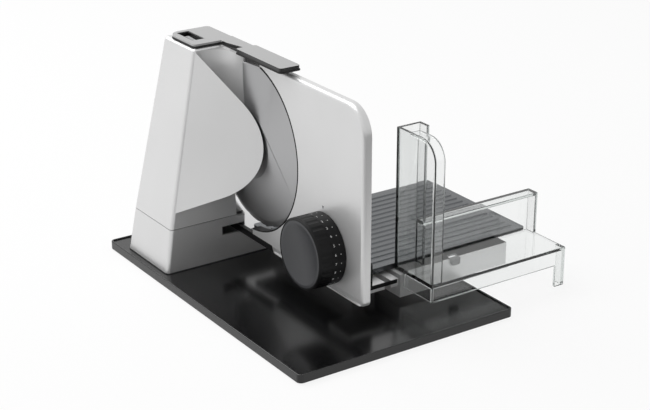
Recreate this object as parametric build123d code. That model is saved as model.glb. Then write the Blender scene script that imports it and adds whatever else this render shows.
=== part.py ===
from build123d import *
import math
import os

# Electric food slicer on a black tray: leaning motor tower, dished blade,
# hollow stop plate set by a big knob, clear carriage with a ribbed steel floor.
# Every piece is drawn from the tray's front left corner on the tray's top face:
# +X to the carriage, +Y to the back, +Z up, millimetres.

# Tray
TRAY_W = 242.0
TRAY_D = 360.0
TRAY_T = 7.0
TRAY_CORNER_R = 5.0
TRAY_RIM_W = 2.0
TRAY_RIM_H = 0.8
FOOT_H = 1.5
FOOT_R = 9.0
FOOT_INSET = 22.0
FOOT_SINK = 0.5

# Blade and its axis
BLADE_R = 85.0
BLADE_Y = 226.6
BLADE_Z = 128.5
BLADE_T = 1.4
BLADE_HUB_X = 91.0
BLADE_EDGE_X = 102.0
BLADE_FLAT_R = 34.0
BLADE_BEVEL_W = 6.0
SCALLOPS = 24
SCALLOP_R = 9.0
SCALLOP_DEPTH = 0.9
BLADE_CLEAR = 1.5
SHAFT_R = 5.0
SHAFT_FLANGE_R = 14.0
RUN_FIT = 0.05
LOCK_R = 13.0
LOCK_T = 3.0
LOCK_SLOT_W = 2.4
LOCK_SLOT_DEPTH = 1.4
LOCK_GAP = 0.3

# Tower, set back from the blade's axis; each lean is how far a face comes in on its way up
TOWER_WALL = 2.5
TOWER_SETBACK = 25.4
TOWER_DEPTH = 81.8
TOWER_RIGHT = 101.0
TOWER_LEFT_FOOT = 8.0
TOWER_LEFT_SEAM = 14.2
TOWER_LEFT_TOP = 52.4
FRONT_LEAN = 11.0
BACK_LEAN_SEAM = 5.5
BACK_LEAN_TOP = 11.8
SEAM_Z = 45.7
SEAL_T = 0.6
SEAL_INSET = 0.6
TOWER_TOP_Z = 222.0
TOWER_EDGE_R = 4.0
RIM_R = 2.0
SHELF_INSET = 12.0
BACK_SLOTS = 7
BACK_SLOT_H = 3.0
BACK_SLOT_PITCH = 7.0
BACK_SLOT_W = 34.0
BACK_SLOT_Z = 78.0

# Deflector, the slanting nose that turns the slices away from the blade
NOSE_X = 89.5
NOSE_REACH = 30.6
NOSE_Z = 135.0
NOSE_APEX_X = 114.2
NOSE_APEX_Z = 116.3
NOSE_R = 68.0
DEFLECTOR_FOOT_Z = 62.0
DEFLECTOR_ROOT = 8.0
EDGE_TANGENT = 1.5
SCOOP_R = 33.0
WEB_T = 1.5
WEB_FOOT_Z = 125.0

# Top cover, guard pad and rocker switch
GASKET_T = 1.2
GASKET_INSET = 1.0
COVER_T = 2.8
COVER_INSET = 0.6
COVER_CORNER_R = 4.0
CAP_BACK_R = 12.0
CAP_BACK_INSET = 6.0
PAD_X0 = 78.5
PAD_X1 = 102.0
PAD_REACH = 76.6
PAD_L = 80.0
PAD_RISE = 1.0
PAD_CORNER_R = 3.0
NECK_X0 = 83.2
NECK_PAD_X = 89.3
NECK_BEND = 8.7
SWITCH_X = 67.0
SWITCH_SETBACK = 42.5
SWITCH_W = 13.5
SWITCH_L = 32.0
SWITCH_DEPTH = 14.0
SWITCH_WALL = 1.6
ROCKER_GAP = 0.5
ROCKER_END_GAP = 2.0
ROCKER_PIN_R = 1.6
ROCKER_LIFT = 3.2
ROCKER_LOW = 4.2
ROCKER_HIGH = 5.4
SWITCH_SINK = 0.6

# Stop plate; heel, rear and horn are counted forward from the blade's axis
STOP_X = 90.0
STOP_T = 9.1
STOP_Y0 = 32.8
STOP_Z0 = 27.9
STOP_Z1 = 218.2
STOP_HEEL = 40.6
STOP_REAR = 4.6
STOP_HORN = 22.6
STOP_STEP_H = 7.7
STOP_ARC_GAP = 1.5
STOP_TRIM_T = 1.3
STOP_SKIN = 2.0
STOP_WALL = 2.5
STOP_BACK_T = 1.5
STOP_CORNER_R = 28.0
STOP_SMALL_R = 6.0
STOP_EDGE_R = 4.0
STOP_BACK_R = 1.0
STOP_BEVEL_H = 7.0
STOP_BEVEL_T = 1.6
STOP_TRAVEL_OUT = 17.0
STOP_TRAVEL_IN = 2.5
CARRIER_X0 = 91.0
CARRIER_W = 4.5
CARRIER_H = 6.6
CARRIER_EYE_R = 6.5
REAR_ROD_R = 3.0
REAR_ROD_SETBACK = 24.0
SLOT_CLEAR = 1.5
STOP_HEEL_GAP = 0.4
ROD_RIB_T = 3.0

# Knob, gears and adjusting screw
KNOB_Y = 93.0
KNOB_Z = 67.5
KNOB_R = 34.5
KNOB_L = 28.4
KNOB_GAP = 0.5
KNOB_BEVEL = 1.6
KNOB_FLUTES = 24
KNOB_FLUTE_R = 9.0
KNOB_FLUTE_DEPTH = 0.4
KNOB_FLUTE_INSET = 3.0
KNOB_DIAL_L = 13.5
KNOB_DISH = 2.4
KNOB_DISH_RIM = 0.3
KNOB_DISH_RINGS = 3
KNOB_CAP_R = 32.0
KNOB_CAP_T = 1.6
KNOB_SHAFT_R = 5.0
KNOB_WALL = 5.0
KNOB_WEB_T = 2.5
KNOB_HUB_T = 5.0
GEAR_M = 1.0
TOOTH_TIP = 0.85
TOOTH_ROOT = 1.2
TOOTH_SHARE = 0.40
PRESSURE_ANGLE = 20.0
KNOB_TEETH = 46
SCREW_TEETH = 15
SCREW_ANGLE = 243.5
SCREW_R = 4.0
THREAD_DEPTH = 0.6
SCREW_END_X = 129.0
SCREW_CLEAR = 1.0
NUT_L = 16.0
NUT_R = 7.5
GEAR_GAP = 0.7

# Nut block, bed and carriage runner
BLOCK_X0 = 104.0
BLOCK_X1 = 128.0
BLOCK_H = 23.0
BLOCK_EDGE_R = 3.0
BLOCK_GAP = 0.6
BED_X0 = 131.0
BED_X1 = 158.0
BED_Y1 = 352.0
BED_LIP_Y = 70.5
BED_LIP_T = 7.4
BED_BODY_Y = 108.0
BED_H = 27.0
BED_EDGE_R = 2.0
END_CAP_T = 1.0
END_CAP_H = 3.7
GROOVE_X = 146.0
GROOVE_NECK_W = 7.0
GROOVE_HEAD_W = 14.0
GROOVE_HEAD_H = 7.0
GROOVE_FLOOR_Z = 9.0
RUNNER_GAP = 0.3
RUNNER_Y0 = 112.0
RUNNER_L = 130.0

# Carriage
FLOOR_X0 = 105.0
FLOOR_X1 = 328.0
FLOOR_Y0 = 88.0
FLOOR_Y1 = 246.0
FLOOR_Z = 34.4
FLOOR_T = 1.5
RIB_PITCH = 9.6
RIB_W = 3.4
RIB_H = 0.9
RIB_END = 9.0
BODY_X0 = 161.7
BODY_X1 = 292.0
BODY_Y0 = 72.0
BODY_Z0 = 5.5
BODY_TOP_Z = 29.0
BODY_T = 2.0
SHIELD_X0 = 165.5
CARRIAGE_X1 = 331.0
SHIELD_Y0 = 28.7
SHIELD_T = 3.0
SHIELD_TOP_Z = 173.0
DECK_Z = 32.6
SKIRT_Z = 14.8
GUARD_FLANGE = 12.5
GUARD_ARC_R = 21.0
GUARD_FLANGE_Y1 = 68.0
WALL_Y = 87.0
WALL_FLANGE = 14.0
TALL_WALL_X1 = 193.0
LOW_WALL_Z = 75.5
LEG_W = 12.0
LEG_GAP = 0.4
LATCH_X = 227.0
LATCH_W = 10.0
LATCH_H = 7.0
LATCH_CORNER_R = 2.0
LATCH_PROUD = 2.6
LATCH_GAP = 0.4

# Drive train inside the tower, counted from the wall behind the blade to the motor
BLADE_TEETH = 28
IDLER_PINION_TEETH = 12
IDLER_WHEEL_TEETH = 44
MOTOR_TEETH = 12
IDLER_ANGLE = 10.0
MOTOR_ANGLE = -20.0
DRIVE_GAP = 1.5
DRIVE_W = 5.5
CAGE_GAP = 0.7
CAGE_T = 2.0
CAGE_RIM = 3.0
CAGE_CORNER_R = 11.0
WHEEL_W = 5.0
WHEEL_GAP = 1.2
IDLER_PIN_R = 3.0
MOTOR_R = 19.0
MOTOR_L = 24.0
MOTOR_NOSE_R = 6.0
MOTOR_NOSE_L = 3.0
MOTOR_SHAFT_DEPTH = 14.0
MOTOR_SHAFT_R = 2.5
BUSH_LIP = 0.8
BLADE_BUSH_R = 9.0
POST_R = 4.0

# Base plate, screws and cord inlet
BASE_PLATE_T = 2.0
BASE_PLATE_Z = 1.8
BASE_GAP = 0.4
SCREW_HEAD_R = 3.5
SCREW_HEAD_T = 1.5
SCREW_SHANK_R = 1.9
SCREW_L = 11.0
BOSS_R = 4.6
BOSS_SINK = 0.6
INLET_X = 64.0
INLET_Z = 20.0
INLET_R = 8.0
INLET_BORE_R = 3.6
INLET_FLANGE = 2.5

TRAY_TOP = FOOT_H + TRAY_T
TOWER_FRONT = BLADE_Y + TOWER_SETBACK
TOWER_BACK = TOWER_FRONT + TOWER_DEPTH
TOWER_FRONT_TOP = TOWER_FRONT + FRONT_LEAN
TOWER_BACK_SEAM = TOWER_BACK - BACK_LEAN_SEAM
TOWER_BACK_TOP = TOWER_BACK - BACK_LEAN_TOP
NOSE_Y = BLADE_Y - NOSE_REACH
PAD_Y0 = BLADE_Y - PAD_REACH
PAD_Y1 = PAD_Y0 + PAD_L
SWITCH_Y = TOWER_FRONT + SWITCH_SETBACK
REAR_ROD_Y = TOWER_FRONT + REAR_ROD_SETBACK
STOP_STEP_Y = BLADE_Y - STOP_HEEL
STOP_STEP_Z = STOP_Z0 + STOP_STEP_H
STOP_REAR_Y = BLADE_Y - STOP_REAR
STOP_HORN_Y = BLADE_Y - STOP_HORN
STOP_X1 = STOP_X + STOP_T
STOP_ARC_R = BLADE_R + STOP_ARC_GAP
RECESS_R = BLADE_R + 2 * BLADE_CLEAR
RECESS_X = BLADE_HUB_X - BLADE_CLEAR
INNER_RIGHT = RECESS_X - TOWER_WALL
WEB_X = RECESS_X - WEB_T
SCREW_DIST = GEAR_M * (KNOB_TEETH + SCREW_TEETH) / 2
SCREW_Y = KNOB_Y + SCREW_DIST * math.cos(math.radians(SCREW_ANGLE))
SCREW_Z = KNOB_Z + SCREW_DIST * math.sin(math.radians(SCREW_ANGLE))
IDLER_DIST = GEAR_M * (BLADE_TEETH + IDLER_PINION_TEETH) / 2
IDLER_Y = BLADE_Y + IDLER_DIST * math.cos(math.radians(IDLER_ANGLE))
IDLER_Z = BLADE_Z + IDLER_DIST * math.sin(math.radians(IDLER_ANGLE))
MOTOR_DIST = GEAR_M * (IDLER_WHEEL_TEETH + MOTOR_TEETH) / 2
MOTOR_Y = IDLER_Y + MOTOR_DIST * math.cos(math.radians(MOTOR_ANGLE))
MOTOR_Z = IDLER_Z + MOTOR_DIST * math.sin(math.radians(MOTOR_ANGLE))
BLADE_GEAR_R = GEAR_M * BLADE_TEETH / 2 + TOOTH_TIP
PINION_R = GEAR_M * IDLER_PINION_TEETH / 2 + TOOTH_TIP
BUSH_X0 = INNER_RIGHT - BUSH_LIP
DRIVE_X1 = INNER_RIGHT - DRIVE_GAP
DRIVE_X0 = DRIVE_X1 - DRIVE_W
HUB_X0 = DRIVE_X0 - DRIVE_GAP
CAGE_X1 = DRIVE_X0 - CAGE_GAP
CAGE_X0 = CAGE_X1 - CAGE_T
WHEEL_X1 = CAGE_X0 - CAGE_GAP
WHEEL_X0 = WHEEL_X1 - WHEEL_W
MOUNT_X1 = WHEEL_X0 - WHEEL_GAP
MOUNT_X0 = MOUNT_X1 - CAGE_T
MOTOR_X0 = MOUNT_X0 - MOTOR_L
STOP_GEAR_X0 = STOP_X + STOP_SKIN + GEAR_GAP
STOP_GEAR_X1 = STOP_X1 - STOP_BACK_T - GEAR_GAP
CARRIER_Z0 = STOP_STEP_Z - CARRIER_H - STOP_HEEL_GAP
ROD_Z = CARRIER_Z0 + CARRIER_H / 2
ROD_RIB_X = CARRIER_X0 - STOP_TRAVEL_OUT - 2 * SLOT_CLEAR
COVER_Z1 = TOWER_TOP_Z + GASKET_T + COVER_T
SWITCH_Z0 = COVER_Z1 - SWITCH_DEPTH
ROCKER_Z = SWITCH_Z0 + SWITCH_WALL + ROCKER_LIFT
UPPER_Z0 = SEAM_Z + SEAL_T
RIM_Z = TOWER_TOP_Z - RIM_R
DEFLECTOR_BACK_Y = TOWER_FRONT_TOP + DEFLECTOR_ROOT
LATCH_Z0 = BODY_TOP_Z - LATCH_GAP - LATCH_H
BLOCK_Y1 = FLOOR_Y0 - BLOCK_GAP
KNOB_X1 = STOP_X - KNOB_GAP
KNOB_X0 = KNOB_X1 - KNOB_L
KNOB_FACE_X = KNOB_X0 + KNOB_DISH
KNOB_SEAT_X = KNOB_FACE_X + KNOB_CAP_T


def block(x0, x1, y0, y1, z0, z1):
    """A box between two corners."""
    return Pos((x0 + x1) / 2, (y0 + y1) / 2, (z0 + z1) / 2) * Box(x1 - x0, y1 - y0, z1 - z0)


def bar_x(r, x0, x1, y, z):
    """A round bar along X."""
    return Pos(x0, y, z) * (Plane.YZ * extrude(Circle(r), x1 - x0))


def bar_z(r, x, y, z0, z1):
    """A round bar along Z."""
    return Pos(x, y, z0) * extrude(Circle(r), z1 - z0)


def plate_x(face, x0, x1):
    """A face drawn in (Y, Z), thickened along X."""
    return Pos(x0, 0, 0) * (Plane.YZ * extrude(face, x1 - x0))


def corners_at(face, x):
    """The corners of a face that lie at one X, by rising Y."""
    return face.vertices().filter_by(lambda v: abs(v.X - x) < 0.01).sort_by(Axis.Y)


def soft_plate(x0, x1, y0, y1, z0, z1, r):
    """A flat plate with rounded corners in plan."""
    face = Pos((x0 + x1) / 2, (y0 + y1) / 2) * RectangleRounded(x1 - x0, y1 - y0, r)
    return Pos(0, 0, z0) * extrude(face, z1 - z0)


def gear_face(teeth, phase):
    """A spur gear's outline: each tooth is radial below the pitch circle and slopes in above it."""
    pitch = GEAR_M * teeth / 2
    tip = pitch + TOOTH_TIP
    root = pitch - TOOTH_ROOT
    half = TOOTH_SHARE * math.pi * GEAR_M / 2
    at_tip = (half - TOOTH_TIP * math.tan(math.radians(PRESSURE_ANGLE))) / tip
    steps = ((root, -half / pitch), (pitch, -half / pitch), (tip, -at_tip))
    steps = steps + tuple((r, -a) for r, a in reversed(steps))
    points = []
    for tooth in range(teeth):
        middle = math.radians(phase) + 2 * math.pi * tooth / teeth
        points += [(r * math.cos(middle + a), r * math.sin(middle + a)) for r, a in steps]
    return make_face(Polyline(*points, close=True))


def gear(teeth, phase, x0, x1, y, z):
    """A spur gear on an axis along X, with one tooth pointing at the phase angle."""
    return plate_x(Pos(y, z) * gear_face(teeth, phase), x0, x1)


def meshed_phase(teeth, angle):
    """The phase that puts a gap of the second gear where the first gear's tooth points at it."""
    return angle + 180.0 + 180.0 / teeth


def tray():
    body = soft_plate(0, TRAY_W, 0, TRAY_D, -TRAY_T, 0, TRAY_CORNER_R)
    rim = soft_plate(0, TRAY_W, 0, TRAY_D, 0, TRAY_RIM_H, TRAY_CORNER_R)
    inner_r = TRAY_CORNER_R - TRAY_RIM_W
    hollow = soft_plate(TRAY_RIM_W, TRAY_W - TRAY_RIM_W, TRAY_RIM_W, TRAY_D - TRAY_RIM_W,
                        0, TRAY_RIM_H, inner_r)
    body = body + (rim - hollow)
    for x, y in foot_places():
        body = body - bar_z(FOOT_R, x, y, -TRAY_T, -TRAY_T + FOOT_SINK)
    return body


def foot_places():
    xs = (FOOT_INSET, TRAY_W - FOOT_INSET)
    ys = (FOOT_INSET, TRAY_D / 2, TRAY_D - FOOT_INSET)
    return [(x, y) for x in xs for y in ys]


def tray_feet():
    return [bar_z(FOOT_R, x, y, -TRAY_TOP, -TRAY_T + FOOT_SINK) for x, y in foot_places()]


def tower_left(z):
    """Where the leaning left face stands at a height above the seam."""
    share = (z - SEAM_Z) / (TOWER_TOP_Z - SEAM_Z)
    return TOWER_LEFT_SEAM + share * (TOWER_LEFT_TOP - TOWER_LEFT_SEAM)


def tower_storey(low, high, inset, right):
    """One leaning storey: its outline from the front run back, cut to its outline from the side."""
    left0, front0, back0, z0 = low
    left1, front1, back1, z1 = high
    from_front = Polyline((left0 + inset, z0), (right, z0), (right, z1), (left1 + inset, z1), close=True)
    from_side = Polyline((front0 + inset, z0), (back0 - inset, z0), (back1 - inset, z1), (front1 + inset, z1),
                         close=True)
    body = Pos(0, back0, 0) * Rot(90, 0, 0) * extrude(make_face(from_front), back0 - front0)
    body = body & plate_x(make_face(from_side), left0, right)
    upright = body.edges().filter_by(lambda e: abs(e.tangent_at(0.5).Z) > 0.5)
    return fillet(upright, TOWER_EDGE_R - inset)


def tower_lower(inset):
    low = (TOWER_LEFT_FOOT, TOWER_FRONT, TOWER_BACK, 0)
    high = (TOWER_LEFT_SEAM, TOWER_FRONT, TOWER_BACK_SEAM, SEAM_Z)
    return tower_storey(low, high, inset, TOWER_RIGHT - inset)


def tower_upper(inset, z1, right):
    low = (TOWER_LEFT_SEAM, TOWER_FRONT, TOWER_BACK_SEAM, UPPER_Z0)
    high = (TOWER_LEFT_TOP, TOWER_FRONT_TOP, TOWER_BACK_TOP, z1)
    return tower_storey(low, high, inset, right)


def seam_plan(inset):
    """The tower's outline at its seam, moved in."""
    middle = Pos((TOWER_LEFT_SEAM + TOWER_RIGHT) / 2, (TOWER_FRONT + TOWER_BACK_SEAM) / 2)
    wide = TOWER_RIGHT - TOWER_LEFT_SEAM - 2 * inset
    return middle * Rectangle(wide, TOWER_BACK_SEAM - TOWER_FRONT - 2 * inset)


def base_seal():
    """The thin black ring pressed between the two shells of the tower."""
    ring = fillet(seam_plan(SEAL_INSET).vertices(), TOWER_EDGE_R - SEAL_INSET) - seam_plan(TOWER_WALL)
    return Pos(0, 0, SEAM_Z) * extrude(ring, SEAL_T) - blade_recess()


def deflector(inset):
    """The nose: a round-tipped triangle seen from the front, run back along Y, cut by a slanting plane."""
    low_left = (tower_left(DEFLECTOR_FOOT_Z) + EDGE_TANGENT, DEFLECTOR_FOOT_Z)
    top_left = (tower_left(RIM_Z) + EDGE_TANGENT, RIM_Z)
    face = make_face(Polyline(low_left, (NOSE_APEX_X, NOSE_APEX_Z), top_left, close=True))
    face = fillet(corners_at(face, NOSE_APEX_X), NOSE_R)
    if inset:
        face = offset(face, -inset)
    solid = Pos(0, DEFLECTOR_BACK_Y, 0) * Rot(90, 0, 0) * extrude(face, TOWER_BACK - NOSE_Y)
    foot = Vector(TOWER_LEFT_SEAM + EDGE_TANGENT, TOWER_FRONT + EDGE_TANGENT, SEAM_Z)
    head = Vector(TOWER_LEFT_TOP + EDGE_TANGENT, TOWER_FRONT_TOP + EDGE_TANGENT, TOWER_TOP_Z)
    tip = Vector(NOSE_X, NOSE_Y, NOSE_Z)
    normal = (tip - foot).cross(head - foot).normalized()
    return split(solid, Plane(origin=tip - normal * inset, z_dir=normal), keep=Keep.BOTTOM)


def scoop():
    """The hollow corner between the tower's front and the wall beside the blade, with the neck's seat."""
    y0 = TOWER_FRONT_TOP - SCOOP_R
    y1 = TOWER_FRONT_TOP + TOWER_WALL
    corner = Pos((WEB_X - SCOOP_R + TOWER_RIGHT) / 2, (y0 + y1) / 2)
    face = corner * Rectangle(TOWER_RIGHT - WEB_X + SCOOP_R, y1 - y0)
    face = face - Pos(WEB_X - SCOOP_R, y0) * Circle(SCOOP_R)
    seat = block(NECK_X0, TOWER_RIGHT, y0, y1, RIM_Z, TOWER_TOP_Z)
    return Pos(0, 0, WEB_FOOT_Z) * extrude(face, RIM_Z - WEB_FOOT_Z) + seat


def blade_recess():
    return bar_x(RECESS_R, RECESS_X, TOWER_RIGHT + BLADE_CLEAR, BLADE_Y, BLADE_Z)


def switch_well(grow):
    """The space the switch cup takes, from its floor to the top of the cover."""
    w = SWITCH_W / 2 + grow
    l = SWITCH_L / 2 + grow
    return block(SWITCH_X - w, SWITCH_X + w, SWITCH_Y - l, SWITCH_Y + l, SWITCH_Z0 - grow, COVER_Z1)


def drive_hubs(wall, x1):
    """The round housings over the blade's gear and the idler's pinion, behind the nose."""
    hubs = bar_x(BLADE_GEAR_R + CAGE_GAP + wall, HUB_X0, x1, BLADE_Y, BLADE_Z)
    return hubs + bar_x(PINION_R + CAGE_GAP + wall, HUB_X0, x1, IDLER_Y, IDLER_Z)


def motor_housing():
    shell = tower_upper(0, TOWER_TOP_Z, TOWER_RIGHT)
    shell = chamfer(shell.faces().sort_by(Axis.Z)[-1].edges(), RIM_R) + deflector(0) + scoop()
    shell = shell + drive_hubs(TOWER_WALL, RECESS_X)
    shell = shell - tower_upper(TOWER_WALL, TOWER_TOP_Z - TOWER_WALL, INNER_RIGHT)
    shell = shell - deflector(TOWER_WALL) - drive_hubs(0, INNER_RIGHT)
    shell = shell - blade_recess()
    shell = shell - bar_x(BLADE_BUSH_R, BUSH_X0, RECESS_X, BLADE_Y, BLADE_Z)
    shell = shell - switch_well(0)
    x = (TOWER_LEFT_TOP + INNER_RIGHT) / 2
    for n in range(BACK_SLOTS):
        z = BACK_SLOT_Z + n * BACK_SLOT_PITCH
        shell = shell - block(x - BACK_SLOT_W / 2, x + BACK_SLOT_W / 2, TOWER_BACK_TOP - 2 * TOWER_WALL,
                              TOWER_BACK, z, z + BACK_SLOT_H)
    return shell


def boss_places():
    left = TOWER_LEFT_FOOT + TOWER_WALL + BOSS_R
    right = TOWER_RIGHT - TOWER_WALL - BOSS_R + BOSS_SINK
    front = TOWER_FRONT + 4 * BOSS_R
    back = TOWER_BACK - TOWER_WALL - 2 * BOSS_R
    return [(x, y) for x in (left, right) for y in (front, back)]


def carrier_slot():
    """The opening in the base's front that the stop plate's carrier slides across."""
    x0 = CARRIER_X0 - STOP_TRAVEL_OUT - SLOT_CLEAR
    x1 = CARRIER_X0 + CARRIER_W + STOP_TRAVEL_IN + SLOT_CLEAR / 2
    return block(x0, x1, TOWER_FRONT - SLOT_CLEAR, TOWER_FRONT + TOWER_WALL + SLOT_CLEAR,
                 CARRIER_Z0 - SLOT_CLEAR, CARRIER_Z0 + CARRIER_H + SLOT_CLEAR)


def inlet_frame():
    """The cord inlet's seat on the leaning back of the base, its axis square to that face."""
    lean = math.degrees(math.atan2(TOWER_BACK - TOWER_BACK_SEAM, SEAM_Z))
    y = TOWER_BACK - (TOWER_BACK - TOWER_BACK_SEAM) * INLET_Z / SEAM_Z
    return Pos(INLET_X, y, INLET_Z) * Rot(lean - 90, 0, 0)


def shelf(x0, inset):
    """The low part of the base that runs on to the right, as high as the bed it meets."""
    y1 = TOWER_BACK - SHELF_INSET - inset
    return block(x0, BED_X0 - inset, TOWER_FRONT + inset, y1, 0, BED_H - inset)


def base_housing():
    shell = tower_lower(0) + shelf(TOWER_RIGHT - TOWER_EDGE_R, 0)
    shell = shell - tower_lower(TOWER_WALL) - shelf(TOWER_RIGHT, TOWER_WALL)
    shell = shell - blade_recess() - carrier_slot()
    for x, y in boss_places():
        shell = shell + bar_z(BOSS_R, x, y, BASE_PLATE_Z + BASE_PLATE_T, SCREW_L + BOSS_R)
    for x, y in boss_places():
        shell = shell - bar_z(SCREW_SHANK_R, x, y, 0, SCREW_L + BASE_PLATE_T)
    shell = shell + block(ROD_RIB_X - ROD_RIB_T, ROD_RIB_X, TOWER_FRONT, REAR_ROD_Y + CARRIER_EYE_R,
                          BASE_PLATE_Z + BASE_PLATE_T + BASE_GAP, SEAM_Z - TOWER_WALL)
    return shell - rear_guide_rod() - inlet_frame() * Cylinder(INLET_R, 6 * TOWER_WALL)


def rear_guide_rod():
    return bar_x(REAR_ROD_R, ROD_RIB_X - ROD_RIB_T, TOWER_RIGHT - TOWER_WALL / 2, REAR_ROD_Y, ROD_Z)


def cord_inlet():
    """A moulded grommet: a flange outside, a neck through the wall and a bore for the cord."""
    neck = inlet_frame() * Pos(0, 0, -1.5 * TOWER_WALL) * extrude(Circle(INLET_R), 1.5 * TOWER_WALL)
    flange = inlet_frame() * extrude(Circle(INLET_R + INLET_FLANGE), INLET_FLANGE)
    bore = inlet_frame() * Cylinder(INLET_BORE_R, 8 * TOWER_WALL)
    return neck + flange - bore


def base_plate():
    inset = TOWER_WALL + BASE_GAP
    left = TOWER_LEFT_FOOT + inset + BASE_GAP
    back = TOWER_BACK - inset - BASE_GAP
    plate = soft_plate(left, TOWER_RIGHT - inset, TOWER_FRONT + inset, back, BASE_PLATE_Z,
                       BASE_PLATE_Z + BASE_PLATE_T, TOWER_EDGE_R - TOWER_WALL)
    for x, y in boss_places():
        plate = plate - bar_z(SCREW_SHANK_R, x, y, 0, 2 * BASE_PLATE_Z + BASE_PLATE_T)
    return plate


def base_screws():
    screws = []
    for x, y in boss_places():
        head = bar_z(SCREW_HEAD_R, x, y, BASE_PLATE_Z - SCREW_HEAD_T, BASE_PLATE_Z)
        screws.append(head + bar_z(SCREW_SHANK_R, x, y, BASE_PLATE_Z, SCREW_L + BASE_PLATE_Z))
    return screws


def cap_face(inset):
    """The cap over the tower in plan, with a wide round at its back left."""
    x0 = TOWER_LEFT_TOP + inset
    x1 = TOWER_RIGHT - inset
    y0 = TOWER_FRONT_TOP + inset
    y1 = TOWER_BACK_TOP - CAP_BACK_INSET
    face = Pos((x0 + x1) / 2, (y0 + y1) / 2) * Rectangle(x1 - x0, y1 - y0)
    face = fillet(corners_at(face, x0)[-1], CAP_BACK_R)
    return fillet(corners_at(face, x0)[:1] + corners_at(face, x1), COVER_CORNER_R)


def neck_face(inset, pad_x):
    """The neck from the cap to the pad in plan; its left edge may run aslant to a point at the pad."""
    back = TOWER_FRONT_TOP + 2 * COVER_CORNER_R
    front = PAD_Y1 - PAD_CORNER_R - inset
    right = TOWER_RIGHT - inset
    return make_face(Polyline((NECK_X0 + inset, back), (NECK_X0 + inset, TOWER_FRONT_TOP - NECK_BEND),
                              (pad_x, PAD_Y1), (pad_x, front), (right, front), (right, back), close=True))


def pad_face(inset):
    middle = Pos((PAD_X0 + PAD_X1) / 2, (PAD_Y0 + PAD_Y1) / 2)
    return middle * RectangleRounded(PAD_X1 - PAD_X0 - 2 * inset, PAD_L - 2 * inset, PAD_CORNER_R)


def top_gasket():
    face = cap_face(GASKET_INSET) + neck_face(0, NECK_X0) + pad_face(0)
    return Pos(0, 0, TOWER_TOP_Z) * extrude(face, GASKET_T) - switch_well(0)


def top_cover():
    face = cap_face(GASKET_INSET + COVER_INSET) + neck_face(COVER_INSET, NECK_PAD_X)
    cover = extrude(face, COVER_T) + extrude(pad_face(COVER_INSET), COVER_T + PAD_RISE)
    return Pos(0, 0, TOWER_TOP_Z + GASKET_T) * cover - switch_well(0)


def switch_cup():
    cup = switch_well(0) - switch_well(-SWITCH_WALL)
    cup = cup - block(SWITCH_X - SWITCH_W, SWITCH_X + SWITCH_W, SWITCH_Y - SWITCH_L, SWITCH_Y + SWITCH_L,
                      COVER_Z1 - SWITCH_SINK, COVER_Z1)
    return cup - bar_x(ROCKER_PIN_R + RUN_FIT, SWITCH_X - SWITCH_W, SWITCH_X + SWITCH_W, SWITCH_Y, ROCKER_Z)


def switch_rocker():
    """A wedge on a cross pin: the front end is low when off."""
    half = SWITCH_L / 2 - SWITCH_WALL - ROCKER_END_GAP
    wide = SWITCH_W / 2 - SWITCH_WALL - ROCKER_GAP
    face = make_face(Polyline((-half, ROCKER_LOW), (half, ROCKER_HIGH), (half, ROCKER_HIGH / 2),
                              (0, -ROCKER_PIN_R - ROCKER_GAP), (-half, ROCKER_LOW / 3), close=True))
    wedge = Pos(0, SWITCH_Y, ROCKER_Z) * plate_x(face, SWITCH_X - wide, SWITCH_X + wide)
    pin = bar_x(ROCKER_PIN_R, SWITCH_X - SWITCH_W / 2, SWITCH_X + SWITCH_W / 2, SWITCH_Y, ROCKER_Z)
    return wedge + pin


def blade():
    """A dished disc: flat hub, cone out to the rim, bevelled and scalloped cutting edge."""
    bevel_r = BLADE_R - BLADE_BEVEL_W
    profile = Polyline((BLADE_HUB_X, SHAFT_R), (BLADE_HUB_X, BLADE_FLAT_R),
                       (BLADE_EDGE_X - 1.3 * BLADE_T, bevel_r), (BLADE_EDGE_X, BLADE_R),
                       (BLADE_EDGE_X - 0.2 * BLADE_T, bevel_r), (BLADE_HUB_X + BLADE_T, BLADE_FLAT_R),
                       (BLADE_HUB_X + BLADE_T, SHAFT_R), close=True)
    disc = revolve(make_face(profile), Axis.X)
    cutter = Pos(BLADE_EDGE_X - 3 * BLADE_T, 0, 0) * (Plane.YZ * extrude(Circle(SCALLOP_R), 6 * BLADE_T))
    out = BLADE_R + SCALLOP_R - SCALLOP_DEPTH
    for n in range(SCALLOPS):
        disc = disc - Rot(360.0 * n / SCALLOPS, 0, 0) * Pos(0, out, 0) * cutter
    return Pos(0, BLADE_Y, BLADE_Z) * disc


def blade_shaft():
    shaft = bar_x(SHAFT_R, CAGE_X0, BLADE_HUB_X + BLADE_T + LOCK_GAP + LOCK_T, BLADE_Y, BLADE_Z)
    return shaft + bar_x(SHAFT_FLANGE_R, RECESS_X + LOCK_GAP, BLADE_HUB_X, BLADE_Y, BLADE_Z)


def blade_lock():
    """The quarter-turn lock that holds the blade, with a slot for a coin."""
    x0 = BLADE_HUB_X + BLADE_T + LOCK_GAP
    lock = bar_x(LOCK_R, x0, x0 + LOCK_T, BLADE_Y, BLADE_Z)
    lock = lock - bar_x(SHAFT_R + RUN_FIT, x0, x0 + LOCK_T, BLADE_Y, BLADE_Z)
    slot = block(x0 + LOCK_T - LOCK_SLOT_DEPTH, x0 + LOCK_T, BLADE_Y - LOCK_R, BLADE_Y + LOCK_R,
                 BLADE_Z - LOCK_SLOT_W / 2, BLADE_Z + LOCK_SLOT_W / 2)
    return lock - slot


def blade_gear():
    wheel = gear(BLADE_TEETH, IDLER_ANGLE, DRIVE_X0, DRIVE_X1, BLADE_Y, BLADE_Z)
    return wheel - bar_x(SHAFT_R, DRIVE_X0, DRIVE_X1, BLADE_Y, BLADE_Z)


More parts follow.
